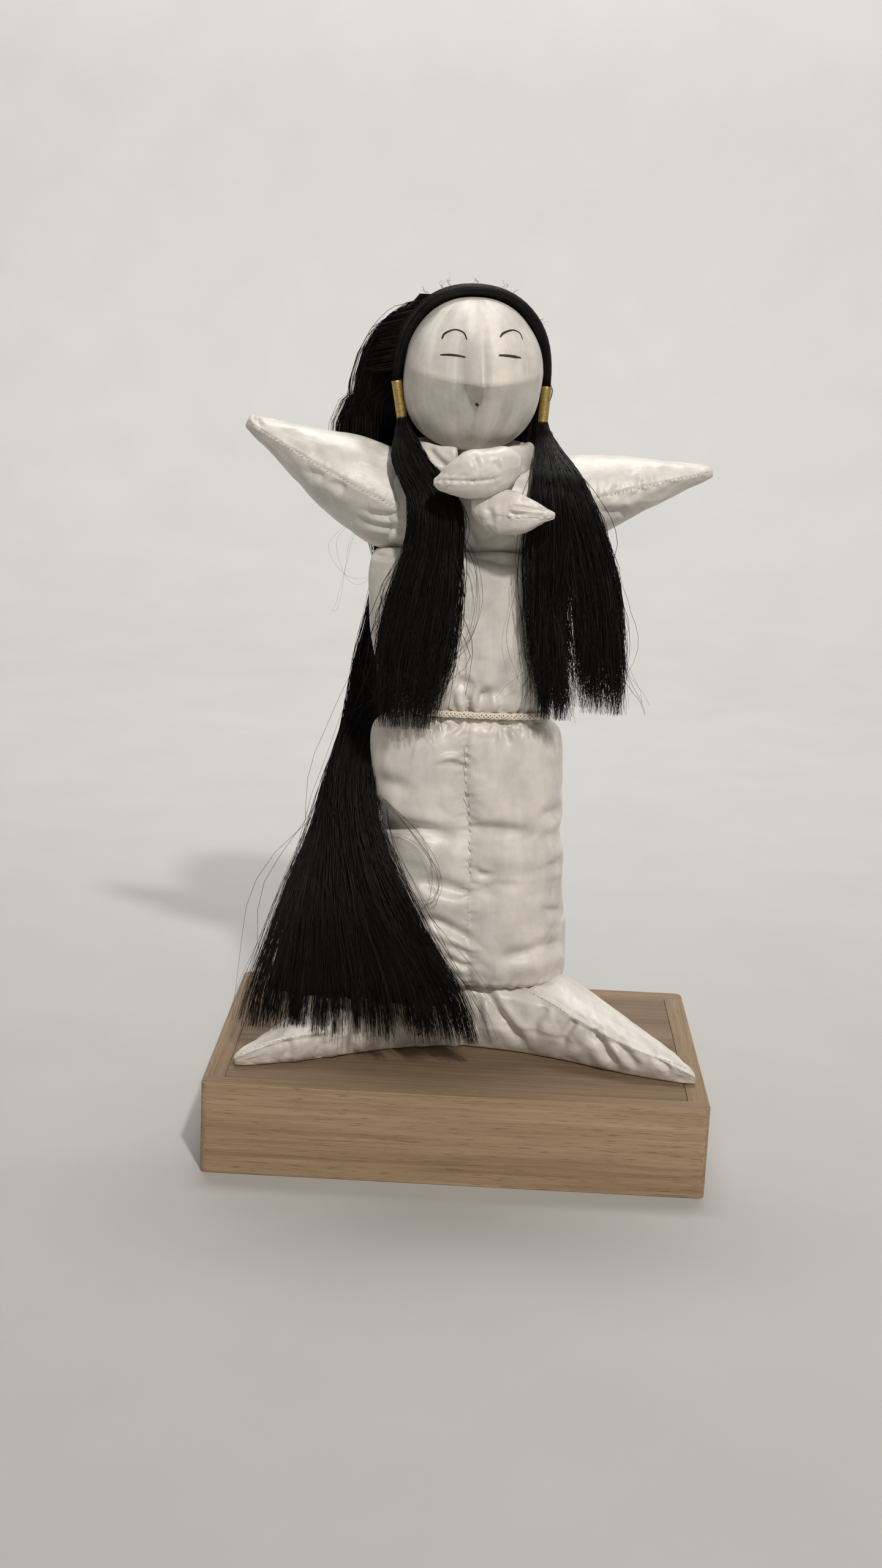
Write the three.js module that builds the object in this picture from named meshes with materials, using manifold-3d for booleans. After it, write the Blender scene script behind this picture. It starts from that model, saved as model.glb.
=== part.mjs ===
// A stuffed white silk doll with long black hair, standing on a plain wooden stand.
// Millimetres, +Z up. The doll faces -Y, and its own left hand points to +X.
// The origin is the middle of the stand's underside.

import * as THREE from 'three';
import { mergeVertices } from 'three/addons/utils/BufferGeometryUtils.js';
import Module from 'manifold-3d';

const wasm = await Module();
wasm.setup();

// Clearances
const JOINT_GAP = 0.3;      // between boards that are glued edge to edge
const SOFT_GAP = 0.4;       // between one soft piece and the next
const TURNING_GAP = 0.5;    // round an arm root, so that the arm can turn

// Wooden stand
const STAND_WIDTH = 303;
const STAND_DEPTH = 210;
const STAND_HEIGHT = 57;
const BOARD_THICKNESS = 12.5;
const PANEL_THICKNESS = 12;
const CORNER_RADIUS = 5;
const BATTEN_WIDTH = 14;
const BATTEN_HEIGHT = 10;
const BLOCK_SIDE = 60;
const BLOCK_HEIGHT = 26;

// Wooden support inside the doll
const SPINE_X = -3;
const SPINE_Y = 3;
const SPINE_DIAMETER = 14;
const TENON_DIAMETER = 11;
const TENON_LENGTH = 36;
const NECK_DIAMETER = 12;
const NECK_GRIP = 16;       // how deep the rods sit in the shoulder block
const SHOULDER_BLOCK = { width: 34, depth: 24, height: 36 };

// Legs, measured from the middle of the doll's underside
const LEG_HEIGHT = 46;
const LEG_PARTING_X = 5.2;
const LEG_REACH = 141;
const LEG_ROOT_DEPTH = 33;
const RIGHT_LEG_FORWARD = 1.14;   // how far each leg points forwards, as a factor
const LEFT_LEG_FORWARD = 1;
const SOLE_SHARE = 0.65;    // how much of the lower half of a leg is left above the flat sole

// Lower body and torso
const LOWER_BODY_HEIGHT = 167;
const LOWER_BODY_HALF_WIDTH = 60;
const LOWER_BODY_HALF_DEPTH = 37;
const WAIST_X = -3.4;
const WAIST_HALF_WIDTH = 45.6;
const WAIST_HALF_DEPTH = 30;
const WAIST_CORD_DIAMETER = 4.3;
const WAIST_KNOT_WIDTH = 11;
const TORSO_HEIGHT = 94.6;
const TORSO_X = -9;
const TORSO_HALF_WIDTH = 59.5;
const TORSO_HALF_DEPTH = 34.5;
const BODY_Y = 2;

// Shoulders and arms
const SHOULDER_HEIGHT = 59;
const SHOULDER_X = -8;
const SHOULDER_PIVOT_REACH = 50;
const SHOULDER_PIVOT_RISE = 2.5;   // pivots above the middle of the shoulders
const SHOULDER_HALF_DEPTH = 31;
const ARM_ROOT_RADIUS = 30;
const ARM_HALF_DEPTH = 26;
const RIGHT_ARM = { reach: 97, lift: 26, belly: -0.5, fullness: 1 };
const LEFT_ARM = { reach: 97, lift: 15, belly: 2, fullness: 0.9 };

// Head
const NECK_GAP = 4;
const HEAD_X = -11.4;
const HEAD_Y = 3;
const HEAD_TURNED = 9;      // degrees that the face looks towards the doll's left
const HEAD_HALF_WIDTH = 41.5;
const HEAD_HALF_DEPTH = 39;
const CROWN_RISE = 50;      // from the ridge at the nose up to the crown
const CHIN_DROP = 40;       // from the ridge down to the chin
const RIDGE_HEIGHT = 2.6;
const RIDGE_FADE = 20;      // how far above and below the ridge the head is still drawn out
const NOSE_HEIGHT = 3.2;
const NOSE_ABOVE = 36;      // how far the nose runs up the face from the ridge
const NOSE_BELOW = 12;
const HEAD_SILK = 1.2;      // silk and its wadding, over the wooden core
const NECK_HOLE_DEPTH = 26;

// Hair and its ornaments
const BAND_THICKNESS = 7;
const BAND_WIDTH = 20;
const TUBE_DIAMETER = 6.2;
const TUBE_WALL = 0.6;
const TUBE_LENGTH = 23.5;
const TUBE_DROP = 24;       // lower end of the gold tubes, below the ridge
const HAIR_PARTING_DROP = 17.5;   // level at which turning hair meets hanging hair
const HAIR_FALL_END = 25;   // above the top of the stand
const HAIR_FALL_HALF_DEPTH = 8;
const LOCK_LENGTH = 170;
const LOCK_HALF_WIDTH = 23.5;
const LOCK_THICKNESS = 12;

// Tie round the neck
const TIE_HALF_WIDTH = 34;
const TIE_HALF_DEPTH = 31;
const TIE_THICKNESS = 9;
const TIE_HEIGHT = 22;

// Heights above the top of the stand
const soleHeight = JOINT_GAP;
const lowerBodyTop = LEG_HEIGHT + LOWER_BODY_HEIGHT;
const waistHeight = lowerBodyTop + SOFT_GAP / 2;
const torsoBottom = lowerBodyTop + SOFT_GAP;
const torsoTop = torsoBottom + TORSO_HEIGHT;
const shoulderBottom = torsoTop + SOFT_GAP;
const shoulderTop = shoulderBottom + SHOULDER_HEIGHT;
const shoulderMiddle = shoulderBottom + SHOULDER_HEIGHT / 2;
const pivotHeight = shoulderMiddle + SHOULDER_PIVOT_RISE;
const ridgeHeight = shoulderTop + NECK_GAP + CHIN_DROP;
const bodyFront = BODY_Y - TORSO_HALF_DEPTH;

const radians = THREE.MathUtils.degToRad;

// The colour and finish of each kind of material
const paulownia = () => new THREE.MeshStandardMaterial({ color: 0xb0916f, roughness: 0.75, metalness: 0 });
const plainWood = () => new THREE.MeshStandardMaterial({ color: 0xc7a981, roughness: 0.8, metalness: 0 });
const silk = () => new THREE.MeshStandardMaterial({ color: 0xe4ded4, roughness: 0.45, metalness: 0 });
const blackHair = () => new THREE.MeshStandardMaterial({ color: 0x0c0b0c, roughness: 0.4, metalness: 0 });
const gilt = () => new THREE.MeshStandardMaterial({ color: 0xb79a4c, roughness: 0.35, metalness: 0.9 });
const braid = () => new THREE.MeshStandardMaterial({ color: 0xe9dccb, roughness: 0.65, metalness: 0 });

function addMesh(parent, name, geometry, material) {
  const mesh = new THREE.Mesh(geometry, material);
  mesh.name = name;
  parent.add(mesh);
  return mesh;
}

// Solids that cut or join each other

function toSolid(geometry) {
  const bare = geometry.clone();
  bare.deleteAttribute('normal');
  bare.deleteAttribute('uv');
  const merged = mergeVertices(bare, 1e-4);
  return new wasm.Manifold(new wasm.Mesh({
    numProp: 3,
    vertProperties: new Float32Array(merged.attributes.position.array),
    triVerts: new Uint32Array(merged.index.array),
  }));
}

function toGeometry(solid) {
  const mesh = solid.getMesh();
  const geometry = new THREE.BufferGeometry();
  geometry.setAttribute('position', new THREE.BufferAttribute(new Float32Array(mesh.vertProperties), 3));
  geometry.setIndex(new THREE.BufferAttribute(new Uint32Array(mesh.triVerts), 1));
  geometry.computeVertexNormals();
  return geometry;
}

function cut(geometry, ...tools) {
  let solid = toSolid(geometry);
  for (const tool of tools) {
    solid = solid.subtract(toSolid(tool));
  }
  return toGeometry(solid);
}

function join(first, second) {
  return toGeometry(toSolid(first).add(toSolid(second)));
}

function uprightRod(diameter, bottom, top, x, y, sides = 24) {
  const rod = new THREE.CylinderGeometry(diameter / 2, diameter / 2, top - bottom, sides);
  rod.rotateX(Math.PI / 2);
  rod.translate(x, y, (bottom + top) / 2);
  return rod;
}

// Lofts: a few stations, smoothed into rings of points, then closed with a fan at each end

function smoothStations(stations, perSpan) {
  const keys = Object.keys(stations[0]);
  const out = [];
  for (let i = 0; i < stations.length - 1; i++) {
    const before = stations[Math.max(i - 1, 0)];
    const from = stations[i];
    const to = stations[i + 1];
    const after = stations[Math.min(i + 2, stations.length - 1)];
    for (let step = 0; step < perSpan; step++) {
      const t = step / perSpan;
      const station = {};
      for (const key of keys) {
        const bend = (to[key] - before[key]) * t
          + (2 * before[key] - 5 * from[key] + 4 * to[key] - after[key]) * t * t
          + (3 * from[key] - 3 * to[key] + after[key] - before[key]) * t * t * t;
        station[key] = from[key] + bend / 2;
      }
      out.push(station);
    }
  }
  out.push(stations.at(-1));
  return out;
}

function closedSkin(rings) {
  const sides = rings[0].length;
  const points = rings.flat();
  const faces = [];
  for (let ring = 0; ring < rings.length - 1; ring++) {
    for (let side = 0; side < sides; side++) {
      const a = ring * sides + side;
      const b = ring * sides + (side + 1) % sides;
      faces.push([a, b, b + sides], [a, b + sides, a + sides]);
    }
  }
  for (const [start, turn] of [[0, 1], [(rings.length - 1) * sides, -1]]) {
    const middle = new THREE.Vector3();
    for (let side = 0; side < sides; side++) {
      middle.add(points[start + side]);
    }
    const hub = points.push(middle.divideScalar(sides)) - 1;
    for (let side = 0; side < sides; side++) {
      const a = start + side;
      const b = start + (side + 1) % sides;
      faces.push(turn > 0 ? [hub, b, a] : [hub, a, b]);
    }
  }
  let volume = 0;
  for (const [a, b, c] of faces) {
    volume += points[a].dot(new THREE.Vector3().crossVectors(points[b], points[c]));
  }
  if (volume < 0) {
    faces.forEach((face) => face.reverse());
  }
  const positions = points.flatMap((point) => point.toArray());
  const geometry = new THREE.BufferGeometry();
  geometry.setAttribute('position', new THREE.Float32BufferAttribute(positions, 3));
  geometry.setIndex(faces.flat());
  geometry.computeVertexNormals();
  return geometry;
}

// A point on an oval: power 2 gives an ellipse, and more than 2 squarer shoulders
function ovalPoint(angle, halfA, halfB, power) {
  const rounded = (value) => Math.sign(value) * Math.abs(value) ** (2 / power);
  return [halfA * rounded(Math.cos(angle)), halfB * rounded(Math.sin(angle))];
}

// Rings that lie level, stacked up the height. seam is how far the middle of the front is drawn in.
function levelLoft(stations, { sides = 24, power = 2.3, grow = 0, seam = 0 } = {}) {
  const rings = stations.map((station, row) => {
    const turn = radians(station.turn ?? 0);
    const end = row === 0 ? -1 : row === stations.length - 1 ? 1 : 0;
    const ring = [];
    for (let side = 0; side < sides; side++) {
      const angle = -Math.PI / 2 + 2 * Math.PI * side / sides;
      const [across, along] = ovalPoint(angle, station.wide + grow, station.deep + grow, power);
      const pulled = side === 0 ? along + seam : along;
      ring.push(new THREE.Vector3(
        station.x + across * Math.cos(turn) - pulled * Math.sin(turn),
        station.y + across * Math.sin(turn) + pulled * Math.cos(turn),
        station.z + end * grow,
      ));
    }
    return ring;
  });
  return closedSkin(rings);
}

// Rings that stand upright across the X axis, for pieces that run sideways
function crossLoft(stations, { sides = 20, power = 2.1, grow = 0, floor = -Infinity } = {}) {
  const away = Math.sign(stations.at(-1).x - stations[0].x);
  const rings = stations.map((station, row) => {
    const end = row === 0 ? -away : row === stations.length - 1 ? away : 0;
    const ring = [];
    for (let side = 0; side < sides; side++) {
      const angle = 2 * Math.PI * side / sides;
      const [along, up] = ovalPoint(angle, station.deep + grow, station.tall + grow, power);
      const z = Math.max(station.z + up, floor);
      ring.push(new THREE.Vector3(station.x + end * grow, station.y + along, z));
    }
    return ring;
  });
  return closedSkin(rings);
}

// The stand

const doll = new THREE.Group();
doll.position.z = STAND_HEIGHT;

const stand = new THREE.Group();

function longBoard(side) {
  const outline = new THREE.Shape();
  const x = STAND_WIDTH / 2;
  outline.moveTo(-x, BOARD_THICKNESS);
  outline.lineTo(-x, CORNER_RADIUS);
  outline.absarc(-x + CORNER_RADIUS, CORNER_RADIUS, CORNER_RADIUS, Math.PI, 1.5 * Math.PI, false);
  outline.absarc(x - CORNER_RADIUS, CORNER_RADIUS, CORNER_RADIUS, 1.5 * Math.PI, 2 * Math.PI, false);
  outline.lineTo(x, BOARD_THICKNESS);
  const upright = { depth: STAND_HEIGHT, bevelEnabled: false, curveSegments: 5 };
  const board = new THREE.ExtrudeGeometry(outline, upright);
  board.translate(0, -STAND_DEPTH / 2, 0);
  if (side > 0) board.rotateZ(Math.PI);
  return board;
}

addMesh(stand, 'stand_front_board', longBoard(-1), paulownia());
addMesh(stand, 'stand_back_board', longBoard(1), paulownia());

const sideBoardLength = STAND_DEPTH - 2 * (BOARD_THICKNESS + JOINT_GAP);
for (const [name, side] of [['stand_right_board', -1], ['stand_left_board', 1]]) {
  const board = new THREE.BoxGeometry(BOARD_THICKNESS, sideBoardLength, STAND_HEIGHT);
  board.translate(side * (STAND_WIDTH - BOARD_THICKNESS) / 2, 0, STAND_HEIGHT / 2);
  addMesh(stand, name, board, paulownia());
}

const panelWidth = STAND_WIDTH - 2 * (BOARD_THICKNESS + JOINT_GAP);
const panelBottom = STAND_HEIGHT - PANEL_THICKNESS;
const socketDiameter = TENON_DIAMETER + 2 * JOINT_GAP;
const socket = uprightRod(socketDiameter, 0, STAND_HEIGHT + PANEL_THICKNESS, SPINE_X, SPINE_Y);

const panel = new THREE.BoxGeometry(panelWidth, sideBoardLength, PANEL_THICKNESS);
panel.translate(0, 0, STAND_HEIGHT - PANEL_THICKNESS / 2);
addMesh(stand, 'stand_top_panel', cut(panel, socket), paulownia());

const block = new THREE.BoxGeometry(BLOCK_SIDE, BLOCK_SIDE, BLOCK_HEIGHT);
block.translate(SPINE_X, SPINE_Y, panelBottom - JOINT_GAP - BLOCK_HEIGHT / 2);
addMesh(stand, 'stand_socket_block', cut(block, socket), plainWood());

for (const [name, side] of [['stand_right_batten', -1], ['stand_left_batten', 1]]) {
  const batten = new THREE.BoxGeometry(BATTEN_WIDTH, sideBoardLength, BATTEN_HEIGHT);
  batten.translate(side * (panelWidth - BATTEN_WIDTH) / 2, 0, panelBottom - JOINT_GAP - BATTEN_HEIGHT / 2);
  addMesh(stand, name, batten, plainWood());
}

// The wooden support: a spine up to a block in the shoulders, and a stick that turns in it with the head

const blockBottom = pivotHeight - SHOULDER_BLOCK.height / 2;
const blockTop = pivotHeight + SHOULDER_BLOCK.height / 2;
const spineTop = blockBottom + NECK_GRIP;
const neckBottom = blockTop - NECK_GRIP;
const neckTop = ridgeHeight - CHIN_DROP + NECK_HOLE_DEPTH - SOFT_GAP;

const spineProfile = [
  new THREE.Vector2(0, -TENON_LENGTH),
  new THREE.Vector2(TENON_DIAMETER / 2, -TENON_LENGTH),
  new THREE.Vector2(TENON_DIAMETER / 2, soleHeight),
  new THREE.Vector2(SPINE_DIAMETER / 2, soleHeight),
  new THREE.Vector2(SPINE_DIAMETER / 2, spineTop),
  new THREE.Vector2(0, spineTop),
];
const spine = new THREE.LatheGeometry(spineProfile, 16);
spine.rotateX(Math.PI / 2);
addMesh(doll, 'spine_post', spine, plainWood()).position.set(SPINE_X, SPINE_Y, 0);

const spineRoom = SPINE_DIAMETER + 2 * SOFT_GAP;
const spineBore = uprightRod(spineRoom, -1, spineTop + JOINT_GAP, SPINE_X, SPINE_Y, 16);
const neckRoom = NECK_DIAMETER + 2 * SOFT_GAP;
const neckBore = uprightRod(neckRoom, neckBottom - JOINT_GAP, neckTop + SOFT_GAP, HEAD_X, HEAD_Y, 16);

const { width: blockWidth, depth: blockDepth, height: blockHeight } = SHOULDER_BLOCK;
const shoulderBlock = new THREE.BoxGeometry(blockWidth, blockDepth, blockHeight);
shoulderBlock.translate((SPINE_X + HEAD_X) / 2, SPINE_Y, (blockBottom + blockTop) / 2);
addMesh(doll, 'shoulder_block', cut(shoulderBlock, spineBore, neckBore), plainWood());

// The lower body and the torso, drawn in between them by the waist cord

function waistStation(z) {
  return { z, x: WAIST_X, y: BODY_Y, wide: WAIST_HALF_WIDTH, deep: WAIST_HALF_DEPTH };
}

function bodyStation(bottom, height, halfWidth, halfDepth, share, x, wide, deep) {
  return { z: bottom + height * share, x, y: BODY_Y, wide: halfWidth * wide, deep: halfDepth * deep };
}

function lowerAt(...shape) {
  return bodyStation(LEG_HEIGHT, LOWER_BODY_HEIGHT, LOWER_BODY_HALF_WIDTH, LOWER_BODY_HALF_DEPTH, ...shape);
}
const grooveHeight = WAIST_CORD_DIAMETER * 0.75;

function lowerBodyForm(grow) {
  const stations = [
    lowerAt(0, 5, 0.86, 0.82),
    lowerAt(0.03, 4.5, 0.99, 0.95),
    lowerAt(0.1, 3.5, 1.02, 1),
    lowerAt(0.22, 2.5, 1.0, 0.98),
    lowerAt(0.31, 2, 0.99, 1),
    lowerAt(0.49, 1.2, 0.98, 1),
    lowerAt(0.565, 0.4, 0.94, 0.96),
    lowerAt(0.63, -0.8, 0.97, 0.98),
    lowerAt(0.72, -3, 1.0, 1),
    lowerAt(0.86, -4, 1.0, 0.97),
    lowerAt(0.94, -4, 0.945, 0.92),
    waistStation(lowerBodyTop - grooveHeight),
    waistStation(lowerBodyTop),
  ];
  return levelLoft(stations, { sides: 26, power: 2.5, grow, seam: grow ? 0 : 2.5 });
}

function torsoAt(...shape) {
  return bodyStation(torsoBottom, TORSO_HEIGHT, TORSO_HALF_WIDTH, TORSO_HALF_DEPTH, ...shape);
}

function torsoForm(grow) {
  const stations = [
    waistStation(torsoBottom),
    waistStation(torsoBottom + grooveHeight),
    torsoAt(0.1, -4.5, 0.88, 0.95),
    torsoAt(0.25, -6.5, 0.95, 1),
    torsoAt(0.5, -8, 0.97, 1),
    torsoAt(0.8, TORSO_X, 1, 0.97),
    torsoAt(0.93, TORSO_X, 1, 0.92),
    torsoAt(1, TORSO_X, 0.88, 0.8),
  ];
  return levelLoft(smoothStations(stations, 2), { sides: 26, power: 2.5, grow, seam: grow ? 0 : 1.5 });
}

// The legs lie out to the sides on the stand, each a cone with a flat underside and a pinched tip

function legForm(side, grow) {
  const forward = side < 0 ? RIGHT_LEG_FORWARD : LEFT_LEG_FORWARD;
  const legAt = (share, y, deep, height) => {
    const tall = height / (1 + SOLE_SHARE);
    return {
      x: LEG_PARTING_X + side * (JOINT_GAP / 2 + LEG_REACH * share),
      y: y * forward,
      z: soleHeight + tall * SOLE_SHARE,
      deep: LEG_ROOT_DEPTH * deep,
      tall,
    };
  };
  const stations = [
    legAt(0, 4, 1, LEG_HEIGHT * 1.18),
    legAt(0.19, 0, 1.03, LEG_HEIGHT * 1.16),
    legAt(0.37, -9, 1, LEG_HEIGHT * 1.06),
    legAt(0.53, -22, 0.88, LEG_HEIGHT * 0.84),
    legAt(0.7, -38, 0.68, LEG_HEIGHT * 0.6),
    legAt(0.86, -52, 0.42, LEG_HEIGHT * 0.38),
    legAt(0.96, -60, 0.24, LEG_HEIGHT * 0.22),
    legAt(1, -63, 0.12, LEG_HEIGHT * 0.12),
  ];
  return crossLoft(smoothStations(stations, 2), { sides: 18, power: 2.2, grow, floor: soleHeight - grow });
}

const lowerBody = lowerBodyForm(0);
const torso = torsoForm(0);
const grownLowerBody = lowerBodyForm(SOFT_GAP);
const grownTorso = torsoForm(SOFT_GAP);

addMesh(doll, 'lower_body', cut(lowerBody, spineBore), silk());
addMesh(doll, 'leg_right', cut(legForm(-1, 0), grownLowerBody, spineBore), silk());
addMesh(doll, 'leg_left', cut(legForm(1, 0), grownLowerBody, spineBore), silk());

// The arms turn on the shoulders about the Y axis. Each is built along X from its pivot.

const armSections = [
  { share: 0.2, tall: 0.93, deep: 0.98 },
  { share: 0.37, tall: 0.83, deep: 0.9 },
  { share: 0.55, tall: 0.64, deep: 0.71 },
  { share: 0.72, tall: 0.44, deep: 0.49 },
  { share: 0.86, tall: 0.28, deep: 0.32 },
  { share: 0.95, tall: 0.18, deep: 0.2 },
  { share: 1, tall: 0.1, deep: 0.1 },
];

function armForm(side, arm, grow) {
  const stations = [];
  // The root is rounded: three rings of an ellipsoid about the pivot
  for (const degreesIn of [50, 35, 18]) {
    const reach = Math.sin(radians(degreesIn));
    const size = Math.cos(radians(degreesIn));
    stations.push({
      x: -side * ARM_ROOT_RADIUS * reach,
      y: 0,
      z: 0,
      deep: ARM_HALF_DEPTH * size,
      tall: ARM_ROOT_RADIUS * size,
    });
  }
  stations.push({ x: 0, y: 0, z: 0, deep: ARM_HALF_DEPTH, tall: ARM_ROOT_RADIUS });
  for (const { share, tall, deep } of armSections) {
    const slim = 1 + (arm.fullness - 1) * Math.min(share * 3, 1);
    stations.push({
      x: side * arm.reach * share,
      y: 0,
      z: arm.belly * Math.sin(Math.PI * share),
      deep: ARM_HALF_DEPTH * deep * slim,
      tall: ARM_ROOT_RADIUS * tall * slim,
    });
  }
  return crossLoft(smoothStations(stations, 2), { sides: 16, power: 2, grow });
}

// The hollow that an arm root turns in
function rootHollow(side) {
  const hollow = new THREE.SphereGeometry(1, 28, 18);
  hollow.rotateX(Math.PI / 2);
  hollow.scale(ARM_ROOT_RADIUS + TURNING_GAP, ARM_HALF_DEPTH + TURNING_GAP, ARM_ROOT_RADIUS + TURNING_GAP);
  hollow.translate(SHOULDER_X + side * SHOULDER_PIVOT_REACH, BODY_Y, pivotHeight);
  return hollow;
}
const rootHollows = [rootHollow(-1), rootHollow(1)];

for (const [name, side, arm] of [['arm_right', -1, RIGHT_ARM], ['arm_left', 1, LEFT_ARM]]) {
  const mesh = addMesh(doll, name, armForm(side, arm, 0), silk());
  mesh.rotation.y = -side * radians(arm.lift);
  mesh.position.set(SHOULDER_X + side * SHOULDER_PIVOT_REACH, BODY_Y, pivotHeight);
}

addMesh(doll, 'torso', cut(torso, spineBore, ...rootHollows), silk());

function shouldersForm(grow) {
  const shoulderAt = (share, tall, deep) => ({
    x: SHOULDER_X + SHOULDER_PIVOT_REACH * share,
    y: BODY_Y,
    z: shoulderMiddle,
    tall: SHOULDER_HEIGHT / 2 * tall,
    deep: SHOULDER_HALF_DEPTH * deep,
  });
  const stations = [
    shoulderAt(-1, 0.9, 0.8),
    shoulderAt(-0.6, 0.97, 0.94),
    shoulderAt(0, 1, 1),
    shoulderAt(0.6, 0.97, 0.94),
    shoulderAt(1, 0.9, 0.8),
  ];
  return crossLoft(smoothStations(stations, 2), { sides: 24, power: 2.4, grow });
}

const blockRoomTop = blockTop + SOFT_GAP;
const blockRoomBottom = shoulderBottom - SOFT_GAP;
const blockRoom = new THREE.BoxGeometry(
  blockWidth + 2 * SOFT_GAP,
  blockDepth + 2 * SOFT_GAP,
  blockRoomTop - blockRoomBottom,
);
blockRoom.translate((SPINE_X + HEAD_X) / 2, SPINE_Y, (blockRoomBottom + blockRoomTop) / 2);
addMesh(doll, 'shoulders', cut(shouldersForm(0), blockRoom, neckBore, ...rootHollows), silk());

// The waist cord, tied behind

const cordHalfWidth = WAIST_HALF_WIDTH + SOFT_GAP + WAIST_CORD_DIAMETER / 2;
const cordHalfDepth = WAIST_HALF_DEPTH + SOFT_GAP + WAIST_CORD_DIAMETER / 2;
const knotHalfAngle = Math.asin((WAIST_KNOT_WIDTH / 2 + JOINT_GAP) / cordHalfWidth);
const cordSteps = 72;

const cordRoute = [];
for (let step = 0; step <= cordSteps; step++) {
  const angle = Math.PI / 2 + knotHalfAngle + 2 * (Math.PI - knotHalfAngle) * step / cordSteps;
  const [x, y] = ovalPoint(angle, cordHalfWidth, cordHalfDepth, 2.5);
  cordRoute.push(new THREE.Vector3(WAIST_X + x, BODY_Y + y, waistHeight));
}

const cordSection = new THREE.Shape();
cordSection.absarc(0, 0, WAIST_CORD_DIAMETER / 2, 0, 2 * Math.PI, false);
const cordGeometry = new THREE.ExtrudeGeometry(cordSection, {
  steps: cordSteps,
  curveSegments: 4,
  bevelEnabled: false,
  extrudePath: new THREE.CatmullRomCurve3(cordRoute),
});
addMesh(doll, 'waist_cord', cordGeometry, braid());

const knotDepthShare = 0.75;
const knot = new THREE.SphereGeometry(WAIST_KNOT_WIDTH / 2, 14, 10);
knot.scale(1, knotDepthShare, 0.8);
const knotY = BODY_Y + WAIST_HALF_DEPTH + SOFT_GAP + WAIST_KNOT_WIDTH / 2 * knotDepthShare;
knot.translate(WAIST_X, knotY, waistHeight);
addMesh(doll, 'waist_cord_knot', knot, braid());

// The space that the waist cord takes up, for cutting the hair that hangs over it
const cordRoomStations = [-1, 1].map((side) => ({
  z: waistHeight + side * WAIST_CORD_DIAMETER / 2,
  x: WAIST_X,
  y: BODY_Y,
  wide: cordHalfWidth + WAIST_CORD_DIAMETER / 2,
  deep: cordHalfDepth + WAIST_CORD_DIAMETER / 2,
}));
const cordRoom = levelLoft(cordRoomStations, { sides: 36, power: 2.5, grow: SOFT_GAP });

// The head: a wooden core under silk, widest at a ridge across the nose

const head = new THREE.Group();
head.position.set(HEAD_X, HEAD_Y, ridgeHeight);
head.rotation.z = radians(HEAD_TURNED);
doll.add(head);

function headForm(grow, { sides = 28, faced = true } = {}) {
  const rows = [-86, -74, -62, -50, -38, -26, -14, -7, 0, 7, 16, 27, 38, 49, 60, 71, 82];
  const rings = rows.map((row) => {
    const [level, rise] = ovalPoint(radians(row), 1, row < 0 ? CHIN_DROP + grow : CROWN_RISE + grow, 2.25);
    const ring = [];
    for (let side = 0; side < sides; side++) {
      const angle = -Math.PI / 2 + 2 * Math.PI * side / sides;
      const halfWide = (HEAD_HALF_WIDTH + grow) * level;
      const halfDeep = (HEAD_HALF_DEPTH + grow) * level;
      const [x, y] = ovalPoint(angle, halfWide, halfDeep, 2.1);
      const facing = Math.max(0, -Math.sin(angle));
      const ridge = RIDGE_HEIGHT * Math.max(0, 1 - Math.abs(rise) / RIDGE_FADE) * Math.sqrt(facing);
      const noseFade = Math.max(0, 1 - Math.abs(rise) / (rise < 0 ? NOSE_BELOW : NOSE_ABOVE));
      const nose = faced && side === 0 ? NOSE_HEIGHT * noseFade : 0;
      ring.push(new THREE.Vector3(x, y - ridge - nose, rise));
    }
    return ring;
  });
  return closedSkin(rings);
}

const belowChin = -CHIN_DROP - 20;
const neckHoleTop = -CHIN_DROP + NECK_HOLE_DEPTH;
const neckHole = uprightRod(NECK_DIAMETER + 2 * JOINT_GAP, belowChin, neckHoleTop, 0, 0, 16);
const silkMouth = uprightRod(NECK_DIAMETER + 10, belowChin, -CHIN_DROP + 6, 0, 0, 16);
const coreForm = headForm(-HEAD_SILK - JOINT_GAP, { sides: 20 });
addMesh(head, 'head_core', cut(coreForm, neckHole), plainWood());
addMesh(head, 'head_silk', cut(headForm(0), headForm(-HEAD_SILK, { sides: 20 }), silkMouth), silk());

const neckStick = uprightRod(NECK_DIAMETER, neckBottom - ridgeHeight, neckTop - ridgeHeight, 0, 0);
addMesh(head, 'neck_stick', neckStick, plainWood());

// The black band goes over the head from one gold tube to the other

const bandEnd = -TUBE_DROP + TUBE_LENGTH + JOINT_GAP;
const outward = SOFT_GAP + BAND_THICKNESS / 2;
const tubeInside = TUBE_DIAMETER / 2 - TUBE_WALL;

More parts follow.
